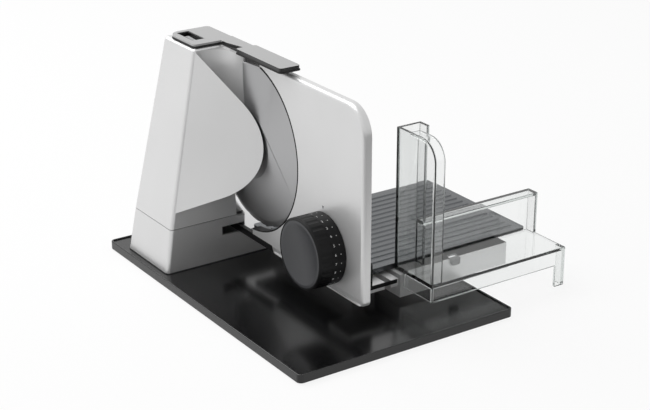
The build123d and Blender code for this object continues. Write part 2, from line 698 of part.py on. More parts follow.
def blade_bush():
    bush = bar_x(BLADE_BUSH_R, BUSH_X0, RECESS_X, BLADE_Y, BLADE_Z)
    return bush - bar_x(SHAFT_R + RUN_FIT, BUSH_X0, RECESS_X, BLADE_Y, BLADE_Z)


def idler_gear():
    pinion = gear(IDLER_PINION_TEETH, meshed_phase(IDLER_PINION_TEETH, IDLER_ANGLE),
                  WHEEL_X1, DRIVE_X1, IDLER_Y, IDLER_Z)
    wheel = gear(IDLER_WHEEL_TEETH, MOTOR_ANGLE, WHEEL_X0, WHEEL_X1, IDLER_Y, IDLER_Z)
    return pinion + wheel - bar_x(IDLER_PIN_R + RUN_FIT, WHEEL_X0, DRIVE_X1, IDLER_Y, IDLER_Z)


def idler_pin():
    return bar_x(IDLER_PIN_R, MOUNT_X0, INNER_RIGHT, IDLER_Y, IDLER_Z)


def motor_pinion():
    teeth = gear(MOTOR_TEETH, meshed_phase(MOTOR_TEETH, MOTOR_ANGLE), WHEEL_X0, WHEEL_X1, MOTOR_Y, MOTOR_Z)
    return teeth + bar_x(MOTOR_SHAFT_R, MOUNT_X0 - MOTOR_SHAFT_DEPTH, WHEEL_X1, MOTOR_Y, MOTOR_Z)


def motor():
    """The motor can: a drum with a bearing nose at the back and a bore for the shaft."""
    can = bar_x(MOTOR_R, MOTOR_X0, MOUNT_X0, MOTOR_Y, MOTOR_Z)
    can = can + bar_x(MOTOR_NOSE_R, MOTOR_X0 - MOTOR_NOSE_L, MOTOR_X0, MOTOR_Y, MOTOR_Z)
    depth = MOTOR_SHAFT_DEPTH + CAGE_GAP
    return can - bar_x(MOTOR_SHAFT_R + RUN_FIT, MOUNT_X0 - depth, MOUNT_X0, MOTOR_Y, MOTOR_Z)


def gear_cage():
    """Two plates on two posts: one carries the motor, the other the blade shaft's tail."""
    y1 = MOTOR_Y + MOTOR_R + CAGE_RIM
    z0 = BLADE_Z - BLADE_GEAR_R
    z1 = IDLER_Z + MOTOR_R + CAGE_RIM

    def cage_plate(y0, x0):
        face = Pos((y0 + y1) / 2, (z0 + z1) / 2) * RectangleRounded(y1 - y0, z1 - z0, CAGE_CORNER_R)
        return plate_x(face, x0, x0 + CAGE_T)

    mount = cage_plate(IDLER_Y - IDLER_PIN_R - 2 * CAGE_RIM, MOUNT_X0)
    mount = mount - bar_x(IDLER_PIN_R, MOUNT_X0, MOUNT_X1, IDLER_Y, IDLER_Z)
    mount = mount - bar_x(2 * MOTOR_SHAFT_R, MOUNT_X0, MOUNT_X1, MOTOR_Y, MOTOR_Z)
    tail = cage_plate(BLADE_Y - SHAFT_R - CAGE_RIM, CAGE_X0)
    tail = tail - bar_x(SHAFT_R + RUN_FIT, CAGE_X0, CAGE_X1, BLADE_Y, BLADE_Z)
    tail = tail - bar_x(PINION_R + CAGE_GAP, CAGE_X0, CAGE_X1, IDLER_Y, IDLER_Z)
    cage = mount + tail
    for z in (z0 + 2 * POST_R, z1 - 2 * POST_R):
        cage = cage + bar_x(POST_R, MOUNT_X0, INNER_RIGHT, y1 - 2 * POST_R, z)
    return cage


def stop_blank():
    """The stop plate's outline in (Y, Z) before the blade's arc is taken out."""
    face = make_face(Polyline((STOP_Y0, STOP_Z0), (STOP_STEP_Y, STOP_Z0), (STOP_STEP_Y, STOP_STEP_Z),
                              (STOP_REAR_Y, STOP_STEP_Z), (STOP_REAR_Y, BLADE_Z), (STOP_HORN_Y, BLADE_Z),
                              (STOP_HORN_Y, STOP_Z1), (STOP_Y0, STOP_Z1), close=True))
    front = face.vertices().filter_by(lambda v: abs(v.X - STOP_Y0) < 0.01).sort_by(Axis.Y)
    face = fillet(front[-1], STOP_CORNER_R)
    front = face.vertices().filter_by(lambda v: abs(v.X - STOP_Y0) < 0.01).sort_by(Axis.Y)
    return fillet(front[0], STOP_SMALL_R)


def stop_face():
    return stop_blank() - Pos(BLADE_Y, BLADE_Z) * Circle(STOP_ARC_R + STOP_TRIM_T)


def stop_hollow():
    """The space inside the stop plate for the gears."""
    y0 = STOP_Y0 + STOP_WALL
    y1 = STOP_STEP_Y - STOP_WALL
    z0 = STOP_Z0 + STOP_WALL
    z1 = STOP_Z1 - STOP_WALL
    face = Pos((y0 + y1) / 2, (z0 + z1) / 2) * Rectangle(y1 - y0, z1 - z0)
    front = face.vertices().filter_by(lambda v: abs(v.X - y0) < 0.01).sort_by(Axis.Y)
    face = fillet(front[-1], STOP_CORNER_R - STOP_WALL)
    return face - Pos(BLADE_Y, BLADE_Z) * Circle(STOP_ARC_R + STOP_TRIM_T + STOP_WALL)


def stop_plate():
    x1 = STOP_X1 - STOP_BACK_T
    shell = plate_x(stop_face(), STOP_X, x1)
    rim = shell.faces().sort_by(Axis.X)[0].edges()
    arc_r = STOP_ARC_R + STOP_TRIM_T
    rim = rim.filter_by(lambda e: e.geom_type != GeomType.CIRCLE or abs(e.radius - arc_r) > 0.1)
    rim = rim.filter_by(lambda e: e.center().Y < STOP_STEP_Y - 1)
    shell = fillet(rim, STOP_EDGE_R) - bottom_bevel()
    shell = shell - plate_x(stop_hollow(), STOP_X + STOP_SKIN, x1)
    return shell - bar_x(KNOB_SHAFT_R + RUN_FIT, STOP_X, x1, KNOB_Y, KNOB_Z)


def bottom_bevel():
    """The wedge taken off along the bottom of the plate's left face."""
    corner = Polyline((STOP_X, STOP_Z0), (STOP_X + STOP_BEVEL_T, STOP_Z0), (STOP_X, STOP_Z0 + STOP_BEVEL_H),
                      close=True)
    wedge = extrude(make_face(corner), STOP_STEP_Y - STOP_Y0)
    return Pos(0, STOP_STEP_Y, 0) * Rot(90, 0, 0) * wedge


def stop_back():
    """The sheet that closes the plate, its edges rounded like the plate's own."""
    x0 = STOP_X1 - STOP_BACK_T
    sheet = plate_x(stop_face(), x0, STOP_X1)
    rim = sheet.faces().sort_by(Axis.X)[-1].edges()
    sheet = fillet(rim.filter_by(lambda e: e.center().Y < STOP_Y0 + STOP_CORNER_R), STOP_BACK_R)
    return sheet - bar_x(SCREW_R + RUN_FIT, x0, STOP_X1, SCREW_Y, SCREW_Z)


def stop_edge_trim():
    ring = Pos(BLADE_Y, BLADE_Z) * (Circle(STOP_ARC_R + STOP_TRIM_T) - Circle(STOP_ARC_R))
    return plate_x(ring & stop_blank(), STOP_X, STOP_X1)


def stop_carrier():
    """The black arm from the stop plate's heel back into the base, with an eye on the rear rod."""
    x1 = CARRIER_X0 + CARRIER_W
    arm = block(CARRIER_X0, x1, STOP_STEP_Y, REAR_ROD_Y, CARRIER_Z0, CARRIER_Z0 + CARRIER_H)
    eye = bar_x(CARRIER_EYE_R, CARRIER_X0, x1, REAR_ROD_Y, ROD_Z)
    tongue = block(CARRIER_X0, x1, STOP_STEP_Y, STOP_REAR_Y, CARRIER_Z0 + CARRIER_H, STOP_STEP_Z)
    return arm + eye + tongue - bar_x(REAR_ROD_R + RUN_FIT, CARRIER_X0, x1, REAR_ROD_Y, ROD_Z)


def knob_grip():
    """A hollow drum: plain dial ring at the plate, shallow flutes for the fingers, bevelled front edge."""
    drum = bar_x(KNOB_R, KNOB_X0, KNOB_X1, KNOB_Y, KNOB_Z)
    drum = chamfer(drum.edges().filter_by(GeomType.CIRCLE).sort_by(Axis.X)[0], KNOB_BEVEL)
    out = KNOB_R + KNOB_FLUTE_R - KNOB_FLUTE_DEPTH
    flute = bar_x(KNOB_FLUTE_R, KNOB_X0 + KNOB_FLUTE_INSET, KNOB_X1 - KNOB_DIAL_L, out, 0)
    centre = Pos(0, KNOB_Y, KNOB_Z)
    drum = drum - [centre * Rot(360.0 * n / KNOB_FLUTES, 0, 0) * flute for n in range(KNOB_FLUTES)]
    drum = drum - bar_x(KNOB_CAP_R, KNOB_X0, KNOB_SEAT_X, KNOB_Y, KNOB_Z)
    hollow = bar_x(KNOB_R - KNOB_WALL, KNOB_SEAT_X + KNOB_WEB_T, KNOB_X1, KNOB_Y, KNOB_Z)
    hub = bar_x(KNOB_SHAFT_R + KNOB_HUB_T, KNOB_SEAT_X, KNOB_X1, KNOB_Y, KNOB_Z)
    drum = drum - (hollow - hub)
    return drum - bar_x(KNOB_SHAFT_R, KNOB_SEAT_X, KNOB_X1, KNOB_Y, KNOB_Z)


def knob_cap():
    """The dished front of the knob, hollowed from the rim to the middle."""
    depth = KNOB_DISH - KNOB_DISH_RIM
    flat = KNOB_CAP_R / (KNOB_DISH_RINGS + 1)
    shares = [n / KNOB_DISH_RINGS for n in range(KNOB_DISH_RINGS + 1)]
    dish = [(KNOB_FACE_X - depth * share ** 2, flat + (KNOB_CAP_R - flat) * share) for share in shares]
    outline = Polyline((KNOB_FACE_X, 0), *dish, (KNOB_SEAT_X, KNOB_CAP_R), (KNOB_SEAT_X, 0), close=True)
    return Pos(0, KNOB_Y, KNOB_Z) * revolve(make_face(outline), Axis.X)


def knob_shaft():
    return bar_x(KNOB_SHAFT_R, KNOB_SEAT_X, STOP_GEAR_X1, KNOB_Y, KNOB_Z)


def knob_gear():
    wheel = gear(KNOB_TEETH, SCREW_ANGLE, STOP_GEAR_X0, STOP_GEAR_X1, KNOB_Y, KNOB_Z)
    return wheel - bar_x(KNOB_SHAFT_R, STOP_GEAR_X0, STOP_GEAR_X1, KNOB_Y, KNOB_Z)


def adjusting_screw():
    phase = meshed_phase(SCREW_TEETH, SCREW_ANGLE)
    teeth = gear(SCREW_TEETH, phase, STOP_GEAR_X0, STOP_GEAR_X1, SCREW_Y, SCREW_Z)
    journal = bar_x(SCREW_R, STOP_GEAR_X0, STOP_X1, SCREW_Y, SCREW_Z)
    return teeth + journal + bar_x(SCREW_R - THREAD_DEPTH, STOP_X1, SCREW_END_X, SCREW_Y, SCREW_Z)


def nut_blank():
    """A hexagon on the screw's axis, with two flats upright."""
    face = Pos(SCREW_Y, SCREW_Z) * Rot(0, 0, 30) * RegularPolygon(NUT_R, 6)
    return plate_x(face, BLOCK_X0, BLOCK_X0 + NUT_L)


def screw_nut():
    return nut_blank() - bar_x(SCREW_R + RUN_FIT, BLOCK_X0, BLOCK_X0 + NUT_L, SCREW_Y, SCREW_Z)


def nut_block():
    """The block on the bed's front lip that holds the nut."""
    body = block(BLOCK_X0, BLOCK_X1, BED_LIP_Y, BLOCK_Y1, BED_H, BED_H + BLOCK_H)
    body = fillet(body.edges().filter_by(Axis.X).sort_by(Axis.Z)[-2:], BLOCK_EDGE_R)
    return body - nut_blank() - bar_x(SCREW_R + SCREW_CLEAR, BLOCK_X0, BLOCK_X1, SCREW_Y, SCREW_Z)


def groove_cut(grow, y0, y1):
    """The bed's T-groove, or with a negative growth the tongue that runs in it."""
    neck = block(GROOVE_X - GROOVE_NECK_W / 2 - grow, GROOVE_X + GROOVE_NECK_W / 2 + grow, y0, y1,
                 GROOVE_FLOOR_Z - grow, BED_H)
    head = block(GROOVE_X - GROOVE_HEAD_W / 2 - grow, GROOVE_X + GROOVE_HEAD_W / 2 + grow, y0, y1,
                 GROOVE_FLOOR_Z - grow, GROOVE_FLOOR_Z + GROOVE_HEAD_H + grow)
    return neck + head


def carriage_bed():
    """The rail that the carriage runs on: a grooved body on the tray, with a lip that reaches forward."""
    body = block(BED_X0, BED_X1, BED_BODY_Y, BED_Y1, 0, BED_H)
    body = body + block(BLOCK_X0, BED_X1, BED_LIP_Y, BED_BODY_Y, BED_H - BED_LIP_T, BED_H)
    body = fillet(body.edges().filter_by(Axis.Y).sort_by(Axis.X)[-1], BED_EDGE_R)
    return body - groove_cut(0, BED_LIP_Y, BED_Y1)


def bed_end_cap():
    """The black strip across the top of the lip's front."""
    return block(BLOCK_X0, BED_X1 - BED_EDGE_R, BED_LIP_Y - END_CAP_T, BED_LIP_Y, BED_H - END_CAP_H, BED_H)


def carriage_runner():
    y1 = RUNNER_Y0 + RUNNER_L
    tongue = groove_cut(-RUNNER_GAP, RUNNER_Y0, y1)
    pad = block(GROOVE_X - GROOVE_HEAD_W / 2, GROOVE_X + GROOVE_HEAD_W / 2, RUNNER_Y0, y1,
                BED_H + RUNNER_GAP, FLOOR_Z - FLOOR_T)
    neck = block(GROOVE_X - GROOVE_NECK_W / 2 + RUNNER_GAP, GROOVE_X + GROOVE_NECK_W / 2 - RUNNER_GAP,
                 RUNNER_Y0, y1, BED_H - RUNNER_GAP, BED_H + 2 * RUNNER_GAP)
    return tongue + pad + neck


def carriage_floor():
    """A folded steel tray, upside down, with ribs pressed along the feed direction."""
    top = soft_plate(FLOOR_X0, FLOOR_X1, FLOOR_Y0, FLOOR_Y1, BODY_TOP_Z, FLOOR_Z, 2 * FLOOR_T)
    inner = soft_plate(FLOOR_X0 + FLOOR_T, FLOOR_X1 - FLOOR_T, FLOOR_Y0 + FLOOR_T, FLOOR_Y1 - FLOOR_T,
                       BODY_TOP_Z, FLOOR_Z - FLOOR_T, FLOOR_T)
    floor = top - inner
    count = int((FLOOR_Y1 - FLOOR_Y0 - RIB_PITCH) // RIB_PITCH)
    first = (FLOOR_Y0 + FLOOR_Y1 - (count - 1) * RIB_PITCH) / 2
    section = Trapezoid(RIB_W, RIB_H, 45)
    rib = Pos(FLOOR_X0 + RIB_END, 0, 0) * (Plane.YZ * extrude(section, FLOOR_X1 - FLOOR_X0 - 2 * RIB_END))
    for n in range(count):
        floor = floor + Pos(0, first + n * RIB_PITCH, FLOOR_Z + RIB_H / 2) * rib
    return floor


def carriage_body():
    """The folded sheet under the deck: a top with flanges down on all sides, slotted for the latch."""
    y1 = FLOOR_Y1 - FLOOR_T
    body = block(BODY_X0, BODY_X1, BODY_Y0, y1, BODY_Z0, BODY_TOP_Z)
    body = body - block(BODY_X0 + BODY_T, BODY_X1 - BODY_T, BODY_Y0 + BODY_T, y1 - BODY_T,
                        BODY_Z0, BODY_TOP_Z - BODY_T)
    return body - block(LATCH_X - LATCH_W / 2 - LATCH_GAP, LATCH_X + LATCH_W / 2 + LATCH_GAP,
                        BODY_Y0, BODY_Y0 + BODY_T + 2 * LATCH_PROUD, LATCH_Z0 - LATCH_GAP, BODY_TOP_Z)


def carriage_latch():
    """The push tab in a notch at the sheet's top edge, with a wider head behind it."""
    y1 = BODY_Y0 + BODY_T + LATCH_GAP
    head_z = BODY_TOP_Z - BODY_T - LATCH_GAP
    tab = block(LATCH_X - LATCH_W / 2, LATCH_X + LATCH_W / 2, BODY_Y0 - LATCH_PROUD, y1,
                LATCH_Z0, LATCH_Z0 + LATCH_H)
    tab = fillet(tab.edges().filter_by(Axis.Y).sort_by(Axis.Z)[:2], LATCH_CORNER_R)
    return tab + block(LATCH_X - LATCH_W, LATCH_X + LATCH_W, y1, y1 + BODY_T, LATCH_Z0, head_z)


def guard_face():
    """The thumb guard's outline in (Y, Z), rounded at the front top."""
    face = Pos((SHIELD_Y0 + WALL_Y) / 2, (SKIRT_Z + SHIELD_TOP_Z) / 2)
    face = face * Rectangle(WALL_Y - SHIELD_Y0, SHIELD_TOP_Z - SKIRT_Z)
    front = face.vertices().filter_by(lambda v: abs(v.X - SHIELD_Y0) < 0.01).sort_by(Axis.Y)
    return fillet(front[-1], GUARD_ARC_R)


def carriage_shield():
    """The clear moulding: thumb guard, pusher wall, deck, skirt and leg."""
    t = SHIELD_T
    y_in = WALL_Y - t
    y_flange = WALL_Y - WALL_FLANGE
    guard = plate_x(guard_face(), SHIELD_X0, SHIELD_X0 + t)
    guard = guard - block(SHIELD_X0, SHIELD_X0 + t, BODY_Y0 - LATCH_GAP, WALL_Y, SKIRT_Z, BODY_TOP_Z)
    x1 = SHIELD_X0 + GUARD_FLANGE
    lip = plate_x(guard_face() - offset(guard_face(), -t), SHIELD_X0, x1)
    lip = lip & block(SHIELD_X0, x1, SHIELD_Y0, GUARD_FLANGE_Y1, BODY_TOP_Z, SHIELD_TOP_Z)
    shield = guard + lip
    shield = shield + block(SHIELD_X0, TALL_WALL_X1, y_in, WALL_Y, BODY_TOP_Z, SHIELD_TOP_Z)
    shield = shield + block(TALL_WALL_X1 - t, TALL_WALL_X1, y_flange, WALL_Y, BODY_TOP_Z, SHIELD_TOP_Z)
    shield = shield + block(TALL_WALL_X1 - t, CARRIAGE_X1, y_in, WALL_Y, BODY_TOP_Z, LOW_WALL_Z)
    shield = shield + block(TALL_WALL_X1 - t, CARRIAGE_X1, y_flange, WALL_Y, LOW_WALL_Z - t, LOW_WALL_Z)
    shield = shield + block(CARRIAGE_X1 - t, CARRIAGE_X1, y_flange, WALL_Y, BODY_TOP_Z, LOW_WALL_Z)
    shield = shield + block(SHIELD_X0, CARRIAGE_X1, SHIELD_Y0, WALL_Y, BODY_TOP_Z, DECK_Z)
    shield = shield + block(SHIELD_X0, CARRIAGE_X1, SHIELD_Y0, SHIELD_Y0 + t, SKIRT_Z, DECK_Z)
    leg_z = LEG_GAP - TRAY_TOP
    shield = shield + block(CARRIAGE_X1 - LEG_W, CARRIAGE_X1, SHIELD_Y0, SHIELD_Y0 + t, leg_z, DECK_Z)
    return shield + block(CARRIAGE_X1 - t, CARRIAGE_X1, SHIELD_Y0, SHIELD_Y0 + LEG_W, leg_z, DECK_Z)


PIECES = [
    tray, tray_feet, base_plate, base_housing, base_screws, base_seal, motor_housing, top_gasket, top_cover,
    switch_cup, switch_rocker, cord_inlet, motor, motor_pinion, gear_cage, idler_pin, idler_gear, blade_gear,
    blade_shaft, blade_bush, blade, blade_lock, stop_plate, stop_back, stop_edge_trim, stop_carrier,
    rear_guide_rod, nut_block, screw_nut, adjusting_screw, knob_gear, knob_shaft, knob_cap, knob_grip,
    carriage_bed, bed_end_cap, carriage_runner, carriage_floor, carriage_body, carriage_latch,
    carriage_shield,
]


def write_pieces():
    """Each piece is moved to the frame's origin under the middle of the whole slicer, and written."""
    os.makedirs("parts", exist_ok=True)
    place = Pos(-CARRIAGE_X1 / 2, -TRAY_D / 2, TRAY_TOP)
    for piece in PIECES:
        made = piece()
        solids = [s for item in (made if isinstance(made, list) else [made]) for s in item.solids()]
        moved = [place * s for s in solids]
        shape = moved[0] if len(moved) == 1 else Compound(children=moved)
        export_step(shape, os.path.join("parts", piece.__name__ + ".step"))
        print(piece.__name__, len(moved), round(sum(s.volume for s in moved)))


write_pieces()
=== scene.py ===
# %% [markdown]
# # Dressing a food slicer
# The solids of this slicer were made in a CAD program: a leaning motor tower, a dished blade, a
# stop plate with a big dial, and a clear carriage on a black tray. This lesson gives them their
# finishes, adds what is printed or too fine for the solids, and sets up floor, light and camera.

# %% Load the solids
import math

import bmesh
import bpy
import numpy as np
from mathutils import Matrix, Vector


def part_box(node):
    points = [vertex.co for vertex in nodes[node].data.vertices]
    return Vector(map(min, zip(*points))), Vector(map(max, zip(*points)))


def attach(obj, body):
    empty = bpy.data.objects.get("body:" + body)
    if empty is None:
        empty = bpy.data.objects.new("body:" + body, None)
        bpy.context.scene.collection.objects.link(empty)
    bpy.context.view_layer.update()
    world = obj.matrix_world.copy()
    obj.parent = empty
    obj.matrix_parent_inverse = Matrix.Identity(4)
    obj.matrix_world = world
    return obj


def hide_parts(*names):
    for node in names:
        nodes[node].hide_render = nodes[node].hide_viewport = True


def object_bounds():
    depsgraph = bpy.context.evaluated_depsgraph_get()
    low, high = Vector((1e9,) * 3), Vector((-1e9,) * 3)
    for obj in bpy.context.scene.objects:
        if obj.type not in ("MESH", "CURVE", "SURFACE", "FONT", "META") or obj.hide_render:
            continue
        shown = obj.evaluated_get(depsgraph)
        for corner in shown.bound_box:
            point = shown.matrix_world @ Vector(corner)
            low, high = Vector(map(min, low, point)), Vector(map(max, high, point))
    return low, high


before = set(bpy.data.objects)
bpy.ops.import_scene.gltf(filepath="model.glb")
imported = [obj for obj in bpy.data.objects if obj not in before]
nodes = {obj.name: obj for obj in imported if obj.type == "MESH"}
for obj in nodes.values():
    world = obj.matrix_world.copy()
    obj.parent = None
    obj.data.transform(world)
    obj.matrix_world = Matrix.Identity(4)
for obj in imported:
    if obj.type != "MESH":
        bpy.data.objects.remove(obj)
cad_low, cad_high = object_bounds()
MM = 0.001
extent = [round((high - low) / MM, 1) for low, high in zip(cad_low, cad_high)]
print("solids:", len(nodes), "size in mm:", extent)

# %% [markdown]
# ## Colours and shader nodes
# Colours are picked on a screen, so they are written as sRGB hex values. Shaders count in linear
# light, so one function converts them. A second one adds a shader node: settings go in by name,
# and each input takes a plain value or the output of an earlier node. The same nodes could be set
# by hand in the shader editor; written down, they can be read in order and changed in one place.

# %% Helpers for materials


def linear(hex_colour):
    """sRGB to linear: a channel c becomes ((c + 0.055) / 1.055) ** 2.4, or c / 12.92 near black."""
    srgb = np.array([int(hex_colour[i:i + 2], 16) for i in (1, 3, 5)]) / 255
    rgb = np.where(srgb > 0.04045, ((srgb + 0.055) / 1.055) ** 2.4, srgb / 12.92)
    return (*rgb.tolist(), 1.0)


def add(tree, kind, inputs=None, **settings):
    """Adds one node, sets its properties, and fills or links its inputs."""
    made = tree.nodes.new(kind)
    for name, value in settings.items():
        setattr(made, name, value)
    for socket, value in (inputs or {}).items():
        if isinstance(value, bpy.types.NodeSocket):
            tree.links.new(value, made.inputs[socket])
        else:
            made.inputs[socket].default_value = value
    return made


def empty_material(name):
    """A new material with nothing in it, and its node tree."""
    material = bpy.data.materials.new(name)
    material.use_nodes = True
    material.node_tree.nodes.clear()
    return material, material.node_tree


print("middle grey is", round(linear("#808080")[0], 3), "in linear light")

# %% [markdown]
# ## Satin silver
# The tower, the stop plate and the carriage's sheet are aluminium with a silver lacquer: fine metal
# flakes in a clear coat. The flakes lie at many angles, so half of the light scatters like paint
# and half is mirrored softly like metal. That is why the front of the base shows the black tray as
# a blurred shade. Plain grey paint would look like plastic here, and bare metal would show too much
# of the room. The flakes waver the roughness and tip the surface a hair, so that wide faces aren't
# dead flat.

# %% Silver lacquer on aluminium
FLAKE = 0.9 * MM  # real flakes are far finer; this is as coarse as the picture needs
FLAKE_RELIEF = 0.05 * MM
FLAKE_SHARE = 0.55
CLOUD = 70 * MM  # the faint, wide unevenness of a sprayed coat
SILVER_TONES = ("#d6d6d7", "#dededf")
SILVER_ROUGHNESS = (0.30, 0.38)

silver, tree = empty_material("silver_lacquered_aluminium")
place = add(tree, "ShaderNodeTexCoord").outputs["Object"]
flake = add(tree, "ShaderNodeTexNoise", {
    "Vector": place, "Scale": 1 / FLAKE, "Detail": 2.0}).outputs["Fac"]
cloud = add(tree, "ShaderNodeTexNoise", {
    "Vector": place, "Scale": 1 / CLOUD, "Detail": 1.0}).outputs["Fac"]
rough = add(tree, "ShaderNodeMapRange", {
    "Value": flake, "To Min": SILVER_ROUGHNESS[0], "To Max": SILVER_ROUGHNESS[1]})
tone = add(tree, "ShaderNodeMapRange", {
    "Value": cloud, "To Min": linear(SILVER_TONES[0])[0], "To Max": linear(SILVER_TONES[1])[0]})
relief = add(tree, "ShaderNodeBump", {
    "Height": flake, "Strength": 0.05, "Distance": FLAKE_RELIEF})
shine = add(tree, "ShaderNodeBsdfPrincipled", {
    "Base Color": tone.outputs["Result"], "Metallic": FLAKE_SHARE,
    "Roughness": rough.outputs["Result"], "Normal": relief.outputs["Normal"]})
add(tree, "ShaderNodeOutputMaterial", {"Surface": shine.outputs["BSDF"]})
print("made", silver.name)

# %% [markdown]
# ## Ground blade steel
# A blade is ground while it spins, so its scratches run in rings. They pull each highlight out
# sideways, into a fan that points at the hub. The shader calls this anisotropy and needs the
# scratch direction at each point: the axle's direction crossed with the spoke from the hub to that
# point. A painted fan would stand still in other light; this one moves as it does on real steel.

# %% Blade steel
blade_low, blade_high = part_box("blade")
HUB = (blade_low + blade_high) / 2
AXLE = (1, 0, 0)
ACROSS_AXLE = (0, 1, 1)
SCRATCH_W = 0.5 * MM  # real scratches are finer; this is as coarse as the picture needs
BLADE_ROUGHNESS = (0.38, 0.50)

blade_steel, tree = empty_material("ground_blade_steel")
place = add(tree, "ShaderNodeTexCoord").outputs["Object"]
from_hub = add(tree, "ShaderNodeVectorMath", {0: place, 1: HUB}, operation="SUBTRACT")
spoke = add(tree, "ShaderNodeVectorMath", {
    0: from_hub.outputs["Vector"], 1: ACROSS_AXLE}, operation="MULTIPLY").outputs["Vector"]
radius = add(tree, "ShaderNodeVectorMath", {0: spoke}, operation="LENGTH").outputs["Value"]
rings = add(tree, "ShaderNodeTexNoise", {
    "W": radius, "Scale": 1 / SCRATCH_W, "Detail": 2.0}, noise_dimensions="1D")
along = add(tree, "ShaderNodeVectorMath", {0: AXLE, 1: spoke}, operation="CROSS_PRODUCT")
rough = add(tree, "ShaderNodeMapRange", {
    "Value": rings.outputs["Fac"], "To Min": BLADE_ROUGHNESS[0], "To Max": BLADE_ROUGHNESS[1]})
shine = add(tree, "ShaderNodeBsdfPrincipled", {
    "Base Color": linear("#b0b0b1"), "Metallic": 1.0, "Roughness": rough.outputs["Result"],
    "Anisotropic": 0.4, "Tangent": along.outputs["Vector"]})
add(tree, "ShaderNodeOutputMaterial", {"Surface": shine.outputs["BSDF"]})
print("made", blade_steel.name)

# %% [markdown]
# ## Brushed floor steel
# The carriage's ribbed floor was brushed along its ribs, which run across the machine. Such
# scratches are long one way and narrow the other, so the noise is stretched that way, and the
# scratch direction is the same all over. To the eye the floor is dark and silky, with highlights
# smeared across the ribs.

# %% Floor steel
SCRATCH_L = 30 * MM
RIB_WAY = (1, 0, 0)
FLOOR_ROUGHNESS = (0.22, 0.36)

floor_steel, tree = empty_material("brushed_stainless_steel")
place = add(tree, "ShaderNodeTexCoord").outputs["Object"]
lines = add(tree, "ShaderNodeMapping", {
    "Vector": place, "Scale": (1 / SCRATCH_L, 1 / SCRATCH_W, 1 / SCRATCH_W)})
brush = add(tree, "ShaderNodeTexNoise", {
    "Vector": lines.outputs["Vector"], "Scale": 1.0, "Detail": 2.0})
rough = add(tree, "ShaderNodeMapRange", {
    "Value": brush.outputs["Fac"], "To Min": FLOOR_ROUGHNESS[0], "To Max": FLOOR_ROUGHNESS[1]})
shine = add(tree, "ShaderNodeBsdfPrincipled", {
    "Base Color": linear("#606264"), "Metallic": 1.0, "Roughness": rough.outputs["Result"],
    "Anisotropic": 0.5, "Tangent": RIB_WAY})
add(tree, "ShaderNodeOutputMaterial", {"Surface": shine.outputs["BSDF"]})
print("made", floor_steel.name)

# %% [markdown]
# ## Moulded plastics and rubber
# A plastic part copies the surface of its steel mould. The tray's mould was polished, so it shows
# the room; the knob's was etched, and its grain spreads the light. One recipe serves them all:
# colour, roughness, and a grain with its size in millimetres. Etched grain is often finer than a
# picture of the whole machine can show, so it is drawn as coarse as it needs to be seen.

# %% One recipe for plastics


def moulded(name, colour, roughness, grain=0.4 * MM, depth=0.0, gloss=0.5):
    """Plastic or rubber with an etched grain: fine noise that tips the surface by a given depth."""
    material, tree = empty_material(name)
    place = add(tree, "ShaderNodeTexCoord").outputs["Object"]
    etch = add(tree, "ShaderNodeTexNoise", {"Vector": place, "Scale": 1 / grain, "Detail": 1.0})
    relief = add(tree, "ShaderNodeBump", {
        "Height": etch.outputs["Fac"], "Strength": 0.5, "Distance": depth})
    shine = add(tree, "ShaderNodeBsdfPrincipled", {
        "Base Color": linear(colour), "Roughness": roughness, "Specular IOR Level": gloss,
        "Normal": relief.outputs["Normal"]})
    add(tree, "ShaderNodeOutputMaterial", {"Surface": shine.outputs["BSDF"]})
    return material


# Polished tray: a dim mirror of what stands on it.
tray_black = moulded("polished_black_abs", "#0f0f10", 0.18)
# Etched knob: a dull black on which white print reads well.
grip_black = moulded(
    "etched_black_abs", "#0a0a0b", 0.42, grain=0.5 * MM, depth=0.03 * MM, gloss=0.2)
# Finely etched knob face: a soft sheen that shows its hollow.
cap_grey = moulded(
    "etched_dark_grey_abs", "#2f3033", 0.3, grain=0.5 * MM, depth=0.01 * MM, gloss=0.4)
# Satin rocker: pale, so that the switch is found at once.
rocker_grey = moulded("satin_pale_grey_abs", "#c4c5c6", 0.4, grain=0.5 * MM, depth=0.02 * MM)
# Rubber: hardly any highlight.
rubber = moulded("black_rubber", "#1c1c1c", 0.7, grain=0.8 * MM, depth=0.03 * MM)
# Nylon: milky, with a waxy sheen.
nylon = moulded("natural_nylon", "#e4e1d6", 0.45, grain=0.6 * MM, depth=0.01 * MM)
# Enamel on the motor's can: smooth and dark.
can_paint = moulded("dark_enamel", "#3a3b3d", 0.35, grain=0.8 * MM, depth=0.01 * MM)
print("made", len(bpy.data.materials), "materials so far")

# %% [markdown]
# ## Small metal parts
# Screws, shafts, brackets and bushes sit inside or between the big parts. A bare metal's colour is
# the colour of its mirror image, so they need no more than that and a roughness.

# %% One recipe for small metal parts


def plain_metal(name, colour, roughness):
    """A bare metal: its colour is that of its mirror image."""
    material, tree = empty_material(name)
    shine = add(tree, "ShaderNodeBsdfPrincipled", {
        "Base Color": linear(colour), "Metallic": 1.0, "Roughness": roughness})
    add(tree, "ShaderNodeOutputMaterial", {"Surface": shine.outputs["BSDF"]})
    return material


# Turned steel: bright, with clear highlights.
bright_steel = plain_metal("turned_steel", "#d4d5d6", 0.18)
# Zinc on sheet: greyer, and blurred.
zinc = plain_metal("zinc_plated_sheet", "#bfc2c4", 0.35)
# Brass: warm.
brass = plain_metal("turned_brass", "#d9b56a", 0.25)
print("made", len(bpy.data.materials), "materials so far")
